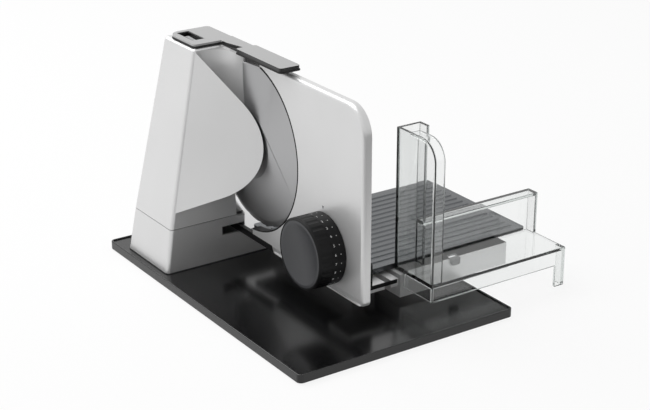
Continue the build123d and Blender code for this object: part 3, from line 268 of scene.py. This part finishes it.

# %% [markdown]
# ## A grey cover with painted shade on its sides
# The cover is one grey, and the darker tone on its sides is painted shade. The shader takes the
# grey where the surface faces up or lies above a line, and a dark grey for shade everywhere else.
# On the cap the grey wraps half of the side, on the neck and the guard pad it ends at the top edge.
# Two materials on one mesh would need a cut along that line. Instead one shader mixes both tones,
# and the line steps up from the cap to the neck.

# %% Grey cover with painted shade
# The first tone is the cover's grey; the second is a dark grey painted on its sides as shade.
COVER_TOP_GREY = "#adaeaf"
COVER_PAINTED_SHADE = "#262627"
CAP_FRONT = (HUB.y + 33 * MM, HUB.y + 37 * MM)
GREY_DEPTH = 3.0 * MM
GREY_EDGE = 0.3 * MM
FACES_UP = (0.75, 0.95)
cover_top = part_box("top_cover")[1].z

cover_grey = moulded("satin_grey_abs", COVER_TOP_GREY, 0.34, grain=0.6 * MM, depth=0.02 * MM)
tree = cover_grey.node_tree
place = add(tree, "ShaderNodeSeparateXYZ", {
    "Vector": add(tree, "ShaderNodeTexCoord").outputs["Object"]}).outputs
facing = add(tree, "ShaderNodeSeparateXYZ", {
    "Vector": add(tree, "ShaderNodeNewGeometry").outputs["Normal"]}).outputs
line = add(tree, "ShaderNodeMapRange", {
    "Value": place["Y"], "From Min": CAP_FRONT[0], "From Max": CAP_FRONT[1],
    "To Min": cover_top, "To Max": cover_top - GREY_DEPTH})
above = add(tree, "ShaderNodeMath", {
    0: place["Z"], 1: line.outputs["Result"]}, operation="SUBTRACT")
on_side = add(tree, "ShaderNodeMapRange", {"Value": above.outputs[0], "From Max": GREY_EDGE})
on_top = add(tree, "ShaderNodeMapRange", {
    "Value": facing["Z"], "From Min": FACES_UP[0], "From Max": FACES_UP[1]})
grey_share = add(tree, "ShaderNodeMath", {
    0: on_side.outputs["Result"], 1: on_top.outputs["Result"]}, operation="MAXIMUM")
# Painted shade: where the surface doesn't face up and lies below the line, the grey turns dark.
tone = add(tree, "ShaderNodeMapRange", {
    "Value": grey_share.outputs[0], "To Min": linear(COVER_PAINTED_SHADE)[0], "To Max": linear(COVER_TOP_GREY)[0]})
tree.links.new(tone.outputs["Result"], tree.nodes["Principled BSDF"].inputs["Base Color"])
print("made", cover_grey.name)

# %% [markdown]
# ## Clear plastic
# The carriage's guard is clear moulded plastic with walls three millimetres thick. Looked at face
# on, light crosses one wall and hardly changes. Looked at along an edge it crosses many
# centimetres, and a little colour in the plastic adds up. So the tint is not painted on the
# surface: it is an absorption inside the volume.

# %% Clear polystyrene
CLEAR_IOR = 1.55
TINT = "#a3b0ab"
TINT_DENSITY = 45.0  # per metre of plastic

clear, tree = empty_material("clear_polystyrene")
shine = add(tree, "ShaderNodeBsdfPrincipled", {
    "Base Color": linear("#ffffff"), "Roughness": 0.02, "IOR": CLEAR_IOR,
    "Transmission Weight": 1.0})
tint = add(tree, "ShaderNodeVolumeAbsorption", {"Color": linear(TINT), "Density": TINT_DENSITY})
add(tree, "ShaderNodeOutputMaterial", {
    "Surface": shine.outputs["BSDF"], "Volume": tint.outputs["Volume"]})
print("made", clear.name)

# %% [markdown]
# ## Who wears what
# Each solid gets one finish. Parts that are made from the same stock share it, so the list is
# written by finish.

# %% Hand out the finishes
wears = {
    silver: "base_housing motor_housing stop_plate stop_back carriage_body carriage_bed",
    tray_black: "tray",
    cover_grey: "top_cover",
    rocker_grey: "switch_rocker",
    cap_grey: "knob_cap carriage_latch",
    grip_black: "knob_grip switch_cup cord_inlet blade_lock stop_edge_trim stop_carrier "
                "nut_block bed_end_cap",
    rubber: "tray_feet base_seal top_gasket",
    blade_steel: "blade",
    floor_steel: "carriage_floor",
    clear: "carriage_shield",
    bright_steel: "base_screws idler_pin blade_shaft rear_guide_rod adjusting_screw knob_shaft",
    zinc: "base_plate gear_cage",
    brass: "motor_pinion blade_bush screw_nut",
    nylon: "idler_gear blade_gear knob_gear carriage_runner",
    can_paint: "motor",
}
for material, names in wears.items():
    for name in names.split():
        nodes[name].data.materials.clear()
        nodes[name].data.materials.append(material)
bare = set(nodes) - set(" ".join(wears.values()).split())
print("finishes:", len(wears), "solids without one:", sorted(bare))

# %% [markdown]
# ## Grids into meshes
# Nearly every new piece below is a surface with two parameters: a rule gives a point for each pair
# of values on a grid. One function turns such a grid of points into a mesh of four-sided faces,
# with no loop over points, and welds it where the grid closes on itself. Modelling by hand would do
# for one piece, but a rule keeps its sizes in the open and fits the solids when they change.

# %% Helpers for pieces
WELD = 0.001 * MM


def weld(mesh, flat_angle=None):
    """Joins points in one place; given an angle, it also joins faces that lie in one plane."""
    work = bmesh.new()
    work.from_mesh(mesh)
    bmesh.ops.remove_doubles(work, verts=work.verts, dist=WELD)
    if flat_angle:
        bmesh.ops.dissolve_limit(
            work, angle_limit=flat_angle, verts=work.verts, edges=work.edges)
    work.to_mesh(mesh)
    work.free()


def new_piece(mesh, body):
    """Puts a mesh in the scene under its own name, parented to the empty of its body."""
    piece = bpy.data.objects.new(mesh.name, mesh)
    bpy.context.scene.collection.objects.link(piece)
    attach(piece, body)
    return piece


def surface(name, points, material, body):
    """A piece from an array of shape (rows, columns, 3): each cell of the grid becomes one face."""
    rows, columns = points.shape[:2]
    index = np.arange(rows * columns).reshape(rows, columns)
    corners = [index[:-1, :-1], index[1:, :-1], index[1:, 1:], index[:-1, 1:]]
    mesh = bpy.data.meshes.new(name)
    mesh.from_pydata(points.reshape(-1, 3), [], np.stack(corners, axis=-1).reshape(-1, 4))
    weld(mesh)
    mesh.shade_smooth()
    mesh.materials.append(material)
    return new_piece(mesh, body)


print("surface() is ready")

# %% [markdown]
# ## Rounded edges on the clear guard
# A moulded edge is never knife-sharp. On clear plastic that shows at once, because the small round
# gathers what is behind it into a thin dark line beside a bright one. The solid's triangles are
# loose, so a copy is welded first and its flat faces are joined again; then a bevel rounds every
# sharp edge, and the copy stands in for the solid.

# %% Guard with eased edges
EDGE_ROUND = 0.6 * MM
EDGE_STEPS = 3
FLAT_ANGLE = math.radians(0.5)
SHARP_ANGLE = math.radians(30)
ROUNDED_ANGLE = math.radians(40)

guard_mesh = nodes["carriage_shield"].data.copy()
guard_mesh.name = "guard_eased"
weld(guard_mesh, FLAT_ANGLE)
if "custom_normal" in guard_mesh.attributes:  # shading stored for the loose triangles
    guard_mesh.attributes.remove(guard_mesh.attributes["custom_normal"])
guard_mesh.shade_smooth()
guard_mesh.set_sharp_from_angle(angle=SHARP_ANGLE)
guard = new_piece(guard_mesh, "carriage")
bevel = guard.modifiers.new("eased_edges", "BEVEL")
bevel.width = EDGE_ROUND
bevel.segments = EDGE_STEPS
bevel.limit_method = "ANGLE"
bevel.angle_limit = ROUNDED_ANGLE
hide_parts("carriage_shield")
print("guard faces before the bevel:", len(guard_mesh.polygons))

# %% [markdown]
# ## Strips along a rounded path
# The next two pieces have a small profile that runs along a rounded rectangle. A path point is a
# corner's centre plus a radius in the direction of its angle; the profile moves it outwards and up.
# A curve with a bevel would do the same, but here the strip starts from the solids' own boxes.

# %% Helpers for strips
CORNER_STEPS = 13


def rounded_path(low, high, corner):
    """Points and outward ways round a rectangle: a corner's centre plus radius * (cos, sin)."""
    quarter = np.linspace(0, np.pi / 2, CORNER_STEPS)
    angle = quarter[None, :] + np.arange(4)[:, None] * np.pi / 2
    side_x = np.array([1, -1, -1, 1])[:, None]
    side_y = np.array([1, 1, -1, -1])[:, None]
    middle = (np.array(low) + np.array(high)) / 2
    half = (np.array(high) - np.array(low)) / 2 - corner
    out = np.stack([np.cos(angle), np.sin(angle)], axis=-1)
    centre = np.stack([middle[0] + side_x * half[0], middle[1] + side_y * half[1]], axis=-1)
    path = (centre + corner * out).reshape(-1, 2)
    out = out.reshape(-1, 2)
    return np.vstack([path, path[:1]]), np.vstack([out, out[:1]])


def strip(path, out, profile):
    """Sweep: a path point plus its outward direction times the profile's reach, at its height."""
    flat = path[:, None, :] + out[:, None, :] * profile[None, :, :1]
    height = np.broadcast_to(profile[None, :, 1:], (*flat.shape[:2], 1))
    return np.concatenate([flat, height], axis=-1)


print("points on a path:", 4 * CORNER_STEPS + 1)

# %% [markdown]
# ## The tray's bead
# A low half-round crowns the tray's rim and keeps crumbs in. Its round top always has a line that
# faces the light, so the rim shows as a thin bright line.

# %% Tray bead
TRAY_CORNER = 5.0 * MM
BEAD_W = 2.0 * MM
BEAD_H = 0.6 * MM

tray_low, tray_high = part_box("tray")
path, out = rounded_path(tray_low[:2], tray_high[:2], TRAY_CORNER)
over = np.linspace(0, np.pi, 9)
bead = np.stack([
    BEAD_W / 2 * (np.cos(over) - 1), tray_high.z + BEAD_H * np.sin(over)], axis=-1)
surface("tray_bead", strip(path, out, bead), tray_black, "base")
print("the bead lies at", round(tray_high.z / MM, 2), "mm")

# %% [markdown]
# ## A black line at the tower's foot
# A thin black strip of rubber runs along the bottom edge of the tower. It shows on the left, the
# front and the back, so its path takes only the two left corners of the foot and runs on straight
# at both ends. From the side it is a short wall with a slope back to the tower.

# %% Black line at the tower's foot
FOOT_CORNER = 4.0 * MM
TOWER_LINE_H = 1.1 * MM
TOWER_LINE_WALL_H = 0.77 * MM
TOWER_LINE_OUT = 0.35 * MM
LEFT_CORNERS = slice(CORNER_STEPS, 3 * CORNER_STEPS)

foot_low, foot_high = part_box("base_housing")
seat = foot_low.z
path, out = rounded_path(foot_low[:2], foot_high[:2], FOOT_CORNER)
back_end = (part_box("motor_housing")[1].x - FOOT_CORNER, foot_high.y)
front_end = (foot_high.x, foot_low.y)
path = np.vstack([[back_end], path[LEFT_CORNERS], [front_end]])
out = np.vstack([[(0, 1)], out[LEFT_CORNERS], [(0, -1)]])
tower_line = np.array([
    [TOWER_LINE_OUT, seat], [TOWER_LINE_OUT, seat + TOWER_LINE_WALL_H], [-TOWER_LINE_OUT, seat + TOWER_LINE_H]])
surface("tower_foot_line", strip(path, out, tower_line), rubber, "base")
print("the seal lies at", round(seat / MM, 2), "mm")

# %% [markdown]
# ## The lip beside the blade
# The hollow in the tower runs on as a thin steel lip down the front of the blade, so that no slice
# catches in the corner. It is ground like the blade. The lip leaves the tower's wall flat and bends
# until it follows the blade's cone, one millimetre clear of it. Its lower edge comes from behind
# the nose and runs out at the blade's rim. The two parameters are the angle round the axle and the
# share of the way from the lower edge to the rim; a solidify modifier then gives the sheet its
# thickness.

# %% Blade lip
HUB_R = 34.0 * MM
LIP_R = 84.0 * MM
LIP_T = 0.8 * MM
LIP_GAP = 1.9 * MM
LIP_SPAN = np.radians([85.5, 215.0])
RUN_OUT_POWER = 5
BEND_L = 36.0 * MM
WALL_IN = 3.05 * MM
WALL_END = 3.9 * MM

wall_x = blade_low.x - WALL_IN
wall_y = HUB.y + WALL_END
lip_angle, share = np.meshgrid(np.linspace(*LIP_SPAN, 110), np.linspace(0, 1, 30), indexing="ij")
climb = (lip_angle - LIP_SPAN[0]) / np.ptp(LIP_SPAN)
lower = HUB_R + (LIP_R - HUB_R) * climb ** RUN_OUT_POWER
r = lower + (LIP_R - lower) * share
lip_y = HUB.y + r * np.cos(lip_angle)
lip_z = HUB.z + r * np.sin(lip_angle)
cone_slope = (blade_high.x - blade_low.x) / ((blade_high.z - blade_low.z) / 2 - HUB_R)
cone_x = blade_low.x + cone_slope * (r - HUB_R) - LIP_GAP
way = np.clip((wall_y - lip_y) / BEND_L, 0, 1)
bend = way * way * (3 - 2 * way)  # starts and ends without a kink
lip_x = wall_x + (cone_x - wall_x) * bend
lip = surface(
    "blade_lip", np.stack([lip_x, lip_y, lip_z], axis=-1), blade_steel, "base")
wall = lip.modifiers.new("wall", "SOLIDIFY")
wall.thickness = LIP_T
wall.offset = -1.0
print("the lip reaches", round(float(lip_x.max() - wall_x) / MM, 1), "mm over the blade")

# %% [markdown]
# ## The black bead round the blade
# The edge of the stop plate that runs round the blade is trimmed in black. The trim rolls over onto
# the plate's face as a soft bead, widest at the top. The two parameters are the angle round the
# axle and the way across the bead, which rises from the face like half a wave.

# %% Trim bead
TRIM_R = 86.5 * MM
TRIM_WIDTHS = (2.3 * MM, 1.3 * MM)
TRIM_RISE = 0.35 * MM
TRIM_SPAN = np.radians([105.5, 266.0])

plate_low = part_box("stop_plate")[0]
trim_angle, across = np.meshgrid(np.linspace(*TRIM_SPAN, 120), np.linspace(0, 1, 9), indexing="ij")
r = TRIM_R + np.interp(trim_angle, TRIM_SPAN, TRIM_WIDTHS) * across
trim = np.stack([
    plate_low.x - TRIM_RISE * np.sin(np.pi * across),
    HUB.y + r * np.cos(trim_angle),
    HUB.z + r * np.sin(trim_angle)], axis=-1)
surface("trim_bead", trim, grip_black, "stop")
print("bead widths in mm:", [round(width / MM, 1) for width in TRIM_WIDTHS])

# %% [markdown]
# ## The rolled foot of the stop plate
# Along its lower edge the plate's sheet is rolled outwards into a thin bead, which stiffens the
# edge. Its upper side faces the light, so it shows as a bright line under the dark slope. The two
# parameters are the way along the edge and the angle round the bead, whose radius falls to nothing
# at both ends with the square root of the distance, like a rounded tip.

# %% Foot bead
FOOT_R = 1.2 * MM
FOOT_IN = 1.2 * MM
FOOT_TIP_L = 5.0 * MM
FOOT_FRONT = plate_low.y + 4.0 * MM
FOOT_HEEL = HUB.y - 41.0 * MM

foot_y, turn = np.meshgrid(
    np.linspace(FOOT_FRONT, FOOT_HEEL, 80), np.linspace(0, 2 * np.pi, 25), indexing="ij")
to_tip = np.minimum(foot_y - FOOT_FRONT, FOOT_HEEL - foot_y)
r = FOOT_R * np.sqrt(np.clip(to_tip / FOOT_TIP_L, 0, 1))
foot = np.stack([
    plate_low.x + FOOT_IN + r * np.cos(turn),
    foot_y,
    plate_low.z + FOOT_R + r * np.sin(turn)], axis=-1)
surface("foot_bead", foot, silver, "stop")
print("the foot bead is", round((FOOT_HEEL - FOOT_FRONT) / MM, 1), "mm long")

# %% [markdown]
# ## The knob's dished face
# The face of the knob is hollowed like a shallow bowl. The solid keeps the bowl as a few cones;
# here it is a true bowl, so that the light runs over it without a step. A profile of distances
# along the axis and radii is turned all the way round: back, rim, and then the bowl, whose depth
# falls off with the square of the radius.

# %% Knob face
KNOB_RIM = 2.2 * MM
RIM_FLAT = 1.6 * MM
BOWL_DEPTH = 3.0 * MM

cap_low, cap_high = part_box("knob_cap")
cap_r = (cap_high.z - cap_low.z) / 2
cap_axis = ((cap_low.y + cap_high.y) / 2, (cap_low.z + cap_high.z) / 2)
bowl_r = cap_r - KNOB_RIM
outward = np.linspace(1, 0, 30)
bowl = np.stack([cap_low.x + BOWL_DEPTH * (1 - outward ** 2), bowl_r * outward], axis=-1)
shell = np.array([
    [cap_high.x, 0], [cap_high.x, cap_r], [cap_low.x, cap_r], [cap_low.x, cap_r - RIM_FLAT]])
profile = np.vstack([shell, bowl])
turn = np.linspace(0, 2 * np.pi, 97)[None, :]
x, r = profile[:, :1] + 0 * turn, profile[:, 1:]
face = np.stack([x, cap_axis[0] + r * np.cos(turn), cap_axis[1] + r * np.sin(turn)], axis=-1)
knob_face = surface("knob_face", face, cap_grey, "knob")
knob_face.data.set_sharp_from_angle(angle=SHARP_ANGLE)
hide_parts("knob_cap")
print("the bowl is", round(BOWL_DEPTH / MM, 1), "mm deep")

# %% [markdown]
# ## Print on a round ring
# The numbers are pad-printed round the knob's plain ring, one for each millimetre of slice. They
# are text, laid out flat and then wrapped: the way along the line of text stays along the knob's
# axis, and the way up the letter becomes an angle round it. A texture would need a picture of the
# numbers; wrapped letters stay sharp at any distance.

# %% Wrapping
PRINT_T = 0.06 * MM

# White ink: flat, and the same from every side.
white_print = moulded("white_pad_print", "#e6e6e6", 0.5)
knob_low, knob_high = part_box("knob_grip")
knob_r = (knob_high.z - knob_low.z) / 2
knob_axis = ((knob_low.y + knob_high.y) / 2, (knob_low.z + knob_high.z) / 2)


def wrapped(x, up, angle):
    """A point just off the ring: x along the axis, the way up the letter turned into an angle."""
    turn = angle - up / knob_r
    r = knob_r + PRINT_T
    return np.stack([x, knob_axis[0] + r * np.cos(turn), knob_axis[1] + r * np.sin(turn)], axis=-1)


print("the ring is", round(2 * knob_r / MM, 1), "mm across")

# %% [markdown]
# ## The dial's numbers
# Each number is made once as text, turned into a mesh and wrapped. A dot beside it meets the mark
# on the plate: a small disc, whose two parameters are the distance from its middle and the angle.

# %% Dial print
NUMBERS = 18
NUMBER_H = 3.6 * MM
NUMBER_X = knob_high.x - 10.9 * MM
FIRST_ANGLE = math.radians(80.2)
NUMBER_STEP = math.radians(14.67)
DOT_X = knob_high.x - 5.2 * MM
DOT_R = 0.45 * MM

reach, dot_turn = np.meshgrid(
    np.linspace(0, DOT_R, 3), np.linspace(0, 2 * np.pi, 17), indexing="ij")
for number in range(NUMBERS):
    angle = FIRST_ANGLE + NUMBER_STEP * number
    text = bpy.data.curves.new("number", "FONT")
    text.body = str(number)
    text.size = NUMBER_H
    text.align_x = "CENTER"
    text.align_y = "CENTER"
    flat = bpy.data.objects.new("number", text)
    mesh = bpy.data.meshes.new_from_object(flat)
    bpy.data.objects.remove(flat)
    mesh.name = f"dial_number_{number}"
    points = np.empty(len(mesh.vertices) * 3)
    mesh.vertices.foreach_get("co", points)
    points = points.reshape(-1, 3)
    mesh.vertices.foreach_set("co", wrapped(NUMBER_X + points[:, 0], points[:, 1], angle).ravel())
    mesh.materials.clear()
    mesh.materials.append(white_print)
    new_piece(mesh, "knob")
    dot = wrapped(DOT_X + reach * np.cos(dot_turn), reach * np.sin(dot_turn), angle)
    surface(f"dial_dot_{number}", dot, white_print, "knob")
print("dial numbers: 0 to", NUMBERS - 1)

# %% [markdown]
# ## The mark on the plate
# A small dark triangle is printed on the stop plate above the knob, and the dial is read against
# it. It is a grid whose width shrinks to nothing on the way down.

# %% Pointer mark
MARK_W = 3.0 * MM
MARK_H = 3.2 * MM
MARK_SIDE = 4.0 * MM
MARK_ABOVE = 5.6 * MM
INK_T = 0.05 * MM

# Dark ink: as flat as the white, so that it reads on the shiny silver.
grey_print = moulded("dark_pad_print", "#4a4b4d", 0.5)
across, down = np.meshgrid(np.linspace(-0.5, 0.5, 3), np.linspace(0, 1, 3))
mark = np.stack([
    np.full_like(across, plate_low.x - INK_T),
    knob_axis[0] + MARK_SIDE - across * MARK_W * (1 - down),
    knob_axis[1] + knob_r + MARK_ABOVE - down * MARK_H], axis=-1)
surface("pointer_mark", mark, grey_print, "stop")
print("mark size in mm:", round(MARK_W / MM, 1), round(MARK_H / MM, 1))

# %% [markdown]
# ## The screw's thread
# The dial turns this screw, and its coarse thread walks the stop plate in and out. Four threads run
# side by side, so one turn moves the plate eight millimetres. The surface is a tube whose radius
# rises and falls along a helix: a wave of the distance along the axis, shifted by the angle round
# it, and cut off flat at crest and root. At both ends it sinks into the screw's core, as a thread
# does where the tool runs out.

# %% Thread
CORE_R = 3.38 * MM
THREAD_H = 0.6 * MM
STARTS = 4
LEAD = 8.0 * MM
FLANK_SLOPE = 1.6
ROOT_CUT = 0.3
RUN_OUT_L = 1.5 * MM
BACK_GAP = 0.2 * MM
THREAD_X0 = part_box("stop_back")[1].x + BACK_GAP
THREAD_X1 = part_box("adjusting_screw")[1].x

nut_low, nut_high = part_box("screw_nut")
screw_axis = ((nut_low.y + nut_high.y) / 2, (nut_low.z + nut_high.z) / 2)
thread_x, turn = np.meshgrid(
    np.linspace(THREAD_X0, THREAD_X1, 300), np.linspace(2 * np.pi, 0, 49), indexing="ij")
phase = STARTS * (thread_x / LEAD + turn / (2 * np.pi))
wave = np.clip(FLANK_SLOPE * np.abs(2 * (phase % 1) - 1) - ROOT_CUT, 0, 1)
to_end = np.minimum(thread_x - THREAD_X0, THREAD_X1 - thread_x)
r = CORE_R + THREAD_H * wave * np.clip(to_end / RUN_OUT_L, 0, 1)
thread = np.stack([
    thread_x, screw_axis[0] + r * np.cos(turn), screw_axis[1] + r * np.sin(turn)], axis=-1)
surface("screw_thread", thread, bright_steel, "screw")
print("thread turns:", round((THREAD_X1 - THREAD_X0) / LEAD, 1))

# %% [markdown]
# ## The white floor
# Product pictures are taken on a white sweep. The floor is a wide sheet of white paper. Where the
# camera, a mirror or the clear guard looks at it, most of its light is its own, as on a table lit
# from below, so the paper is white and the shadow on it stays soft. In front the paper ends and the
# room is dim: only mirrors look that way, and it gives upright edges and clear walls a grey side.

# %% Paper
OWN_LIGHT = 0.88
ROOM_LIGHT = 0.25
PAPER_FRONT = (-0.48, -0.30)
PAPER_SIZE = 12.0


def looked_at(tree):
    """1 for a ray from the camera, a mirror or a clear piece, 0 for light that falls on things."""
    rays = add(tree, "ShaderNodeLightPath").outputs
    seen = add(tree, "ShaderNodeMath", {
        0: rays["Is Camera Ray"], 1: rays["Is Glossy Ray"]}, operation="MAXIMUM")
    seen = add(tree, "ShaderNodeMath", {
        0: seen.outputs[0], 1: rays["Is Transmission Ray"]}, operation="MAXIMUM")
    return seen.outputs[0]


paper, tree = empty_material("white_paper")
matt = add(tree, "ShaderNodeBsdfDiffuse", {"Color": linear("#fafafa")})
place = add(tree, "ShaderNodeNewGeometry").outputs["Position"]
front = add(tree, "ShaderNodeSeparateXYZ", {"Vector": place}).outputs["Y"]
loss = add(tree, "ShaderNodeMapRange", {
    "Value": front, "From Min": PAPER_FRONT[0], "From Max": PAPER_FRONT[1],
    "To Min": ROOM_LIGHT - 1, "To Max": 0.0})
rays = add(tree, "ShaderNodeLightPath").outputs
mirror = add(tree, "ShaderNodeMath", {
    0: rays["Is Glossy Ray"], 1: rays["Is Transmission Ray"]},
    operation="SUBTRACT", use_clamp=True)
level = add(tree, "ShaderNodeMath", {
    0: loss.outputs["Result"], 1: mirror.outputs[0], 2: 1.0}, operation="MULTIPLY_ADD")
glow = add(tree, "ShaderNodeEmission", {
    "Color": linear("#ffffff"), "Strength": level.outputs[0]})
own = add(tree, "ShaderNodeMath", {0: looked_at(tree), 1: OWN_LIGHT}, operation="MULTIPLY")
both = add(tree, "ShaderNodeMixShader", {
    0: own.outputs[0], 1: matt.outputs[0], 2: glow.outputs[0]})
add(tree, "ShaderNodeOutputMaterial", {"Surface": both.outputs[0]})
bpy.ops.mesh.primitive_plane_add(size=PAPER_SIZE, location=(0, 0, 0))
ground = bpy.context.object
ground.name = "floor"
ground.data.materials.append(paper)
print("the paper is", PAPER_SIZE, "m wide")

# %% [markdown]
# ## The white sky
# The sky does the same as the paper: it is white where it is looked at, and dimmer as a light, so
# that pale surfaces keep their own tone.

# %% Sky
SKY_LIGHT = 0.37

world = bpy.data.worlds.new("studio")
bpy.context.scene.world = world
world.use_nodes = True
tree = world.node_tree
tree.nodes.clear()
dim = add(tree, "ShaderNodeBackground", {"Color": linear("#ffffff"), "Strength": SKY_LIGHT})
full = add(tree, "ShaderNodeBackground", {"Color": linear("#ffffff"), "Strength": 1.0})
both = add(tree, "ShaderNodeMixShader", {
    0: looked_at(tree), 1: dim.outputs[0], 2: full.outputs[0]})
add(tree, "ShaderNodeOutputWorld", {"Surface": both.outputs[0]})
print("sky light:", SKY_LIGHT)

# %% [markdown]
# ## Two soft lamps
# A wide lamp overhead lights what faces up, and one behind on the left makes the left faces
# brighter than the fronts. Big lamps near the object give soft shadows; the side lamp is kept out
# of mirrors, where its square would show.

# %% Lamps


def lamp(name, place, size, watts):
    """A square soft light that points at the middle of the slicer."""
    light = bpy.data.lights.new(name, "AREA")
    light.size = size
    light.energy = watts
    holder = bpy.data.objects.new(name, light)
    holder.location = place
    aim = holder.location - (cad_low + cad_high) / 2
    holder.rotation_euler = aim.to_track_quat("Z", "Y").to_euler()
    holder.visible_camera = False
    bpy.context.scene.collection.objects.link(holder)
    return holder


top = lamp("top_light", place=(-0.45, 0.95, 1.7), size=1.6, watts=23.0)
side = lamp("side_light", place=(-1.6, 0.7, 0.9), size=2.4, watts=13.5)
side.visible_glossy = False
print("lamps:", top.name, side.name)

# %% [markdown]
# ## Camera
# The lens is long, as in most product pictures, so that upright edges stay nearly parallel. It
# looks down by about 22 degrees, from the left of the front.

# %% Camera
SENSOR_W = 36.0
LENS = 89.18
CAMERA_PLACE = (-0.8409, -1.2194, 0.6734)
LOOK_DOWN = 22.1
LOOK_RIGHT = 34.04

camera = bpy.data.cameras.new("camera")
camera.sensor_width = SENSOR_W
camera.lens = LENS
viewer = bpy.data.objects.new("camera", camera)
viewer.location = CAMERA_PLACE
viewer.rotation_euler = (math.radians(90 - LOOK_DOWN), 0.0, -math.radians(LOOK_RIGHT))
bpy.context.scene.collection.objects.link(viewer)
bpy.context.scene.camera = viewer
bpy.context.scene.view_settings.view_transform = "Standard"
print("lens:", LENS, "mm")
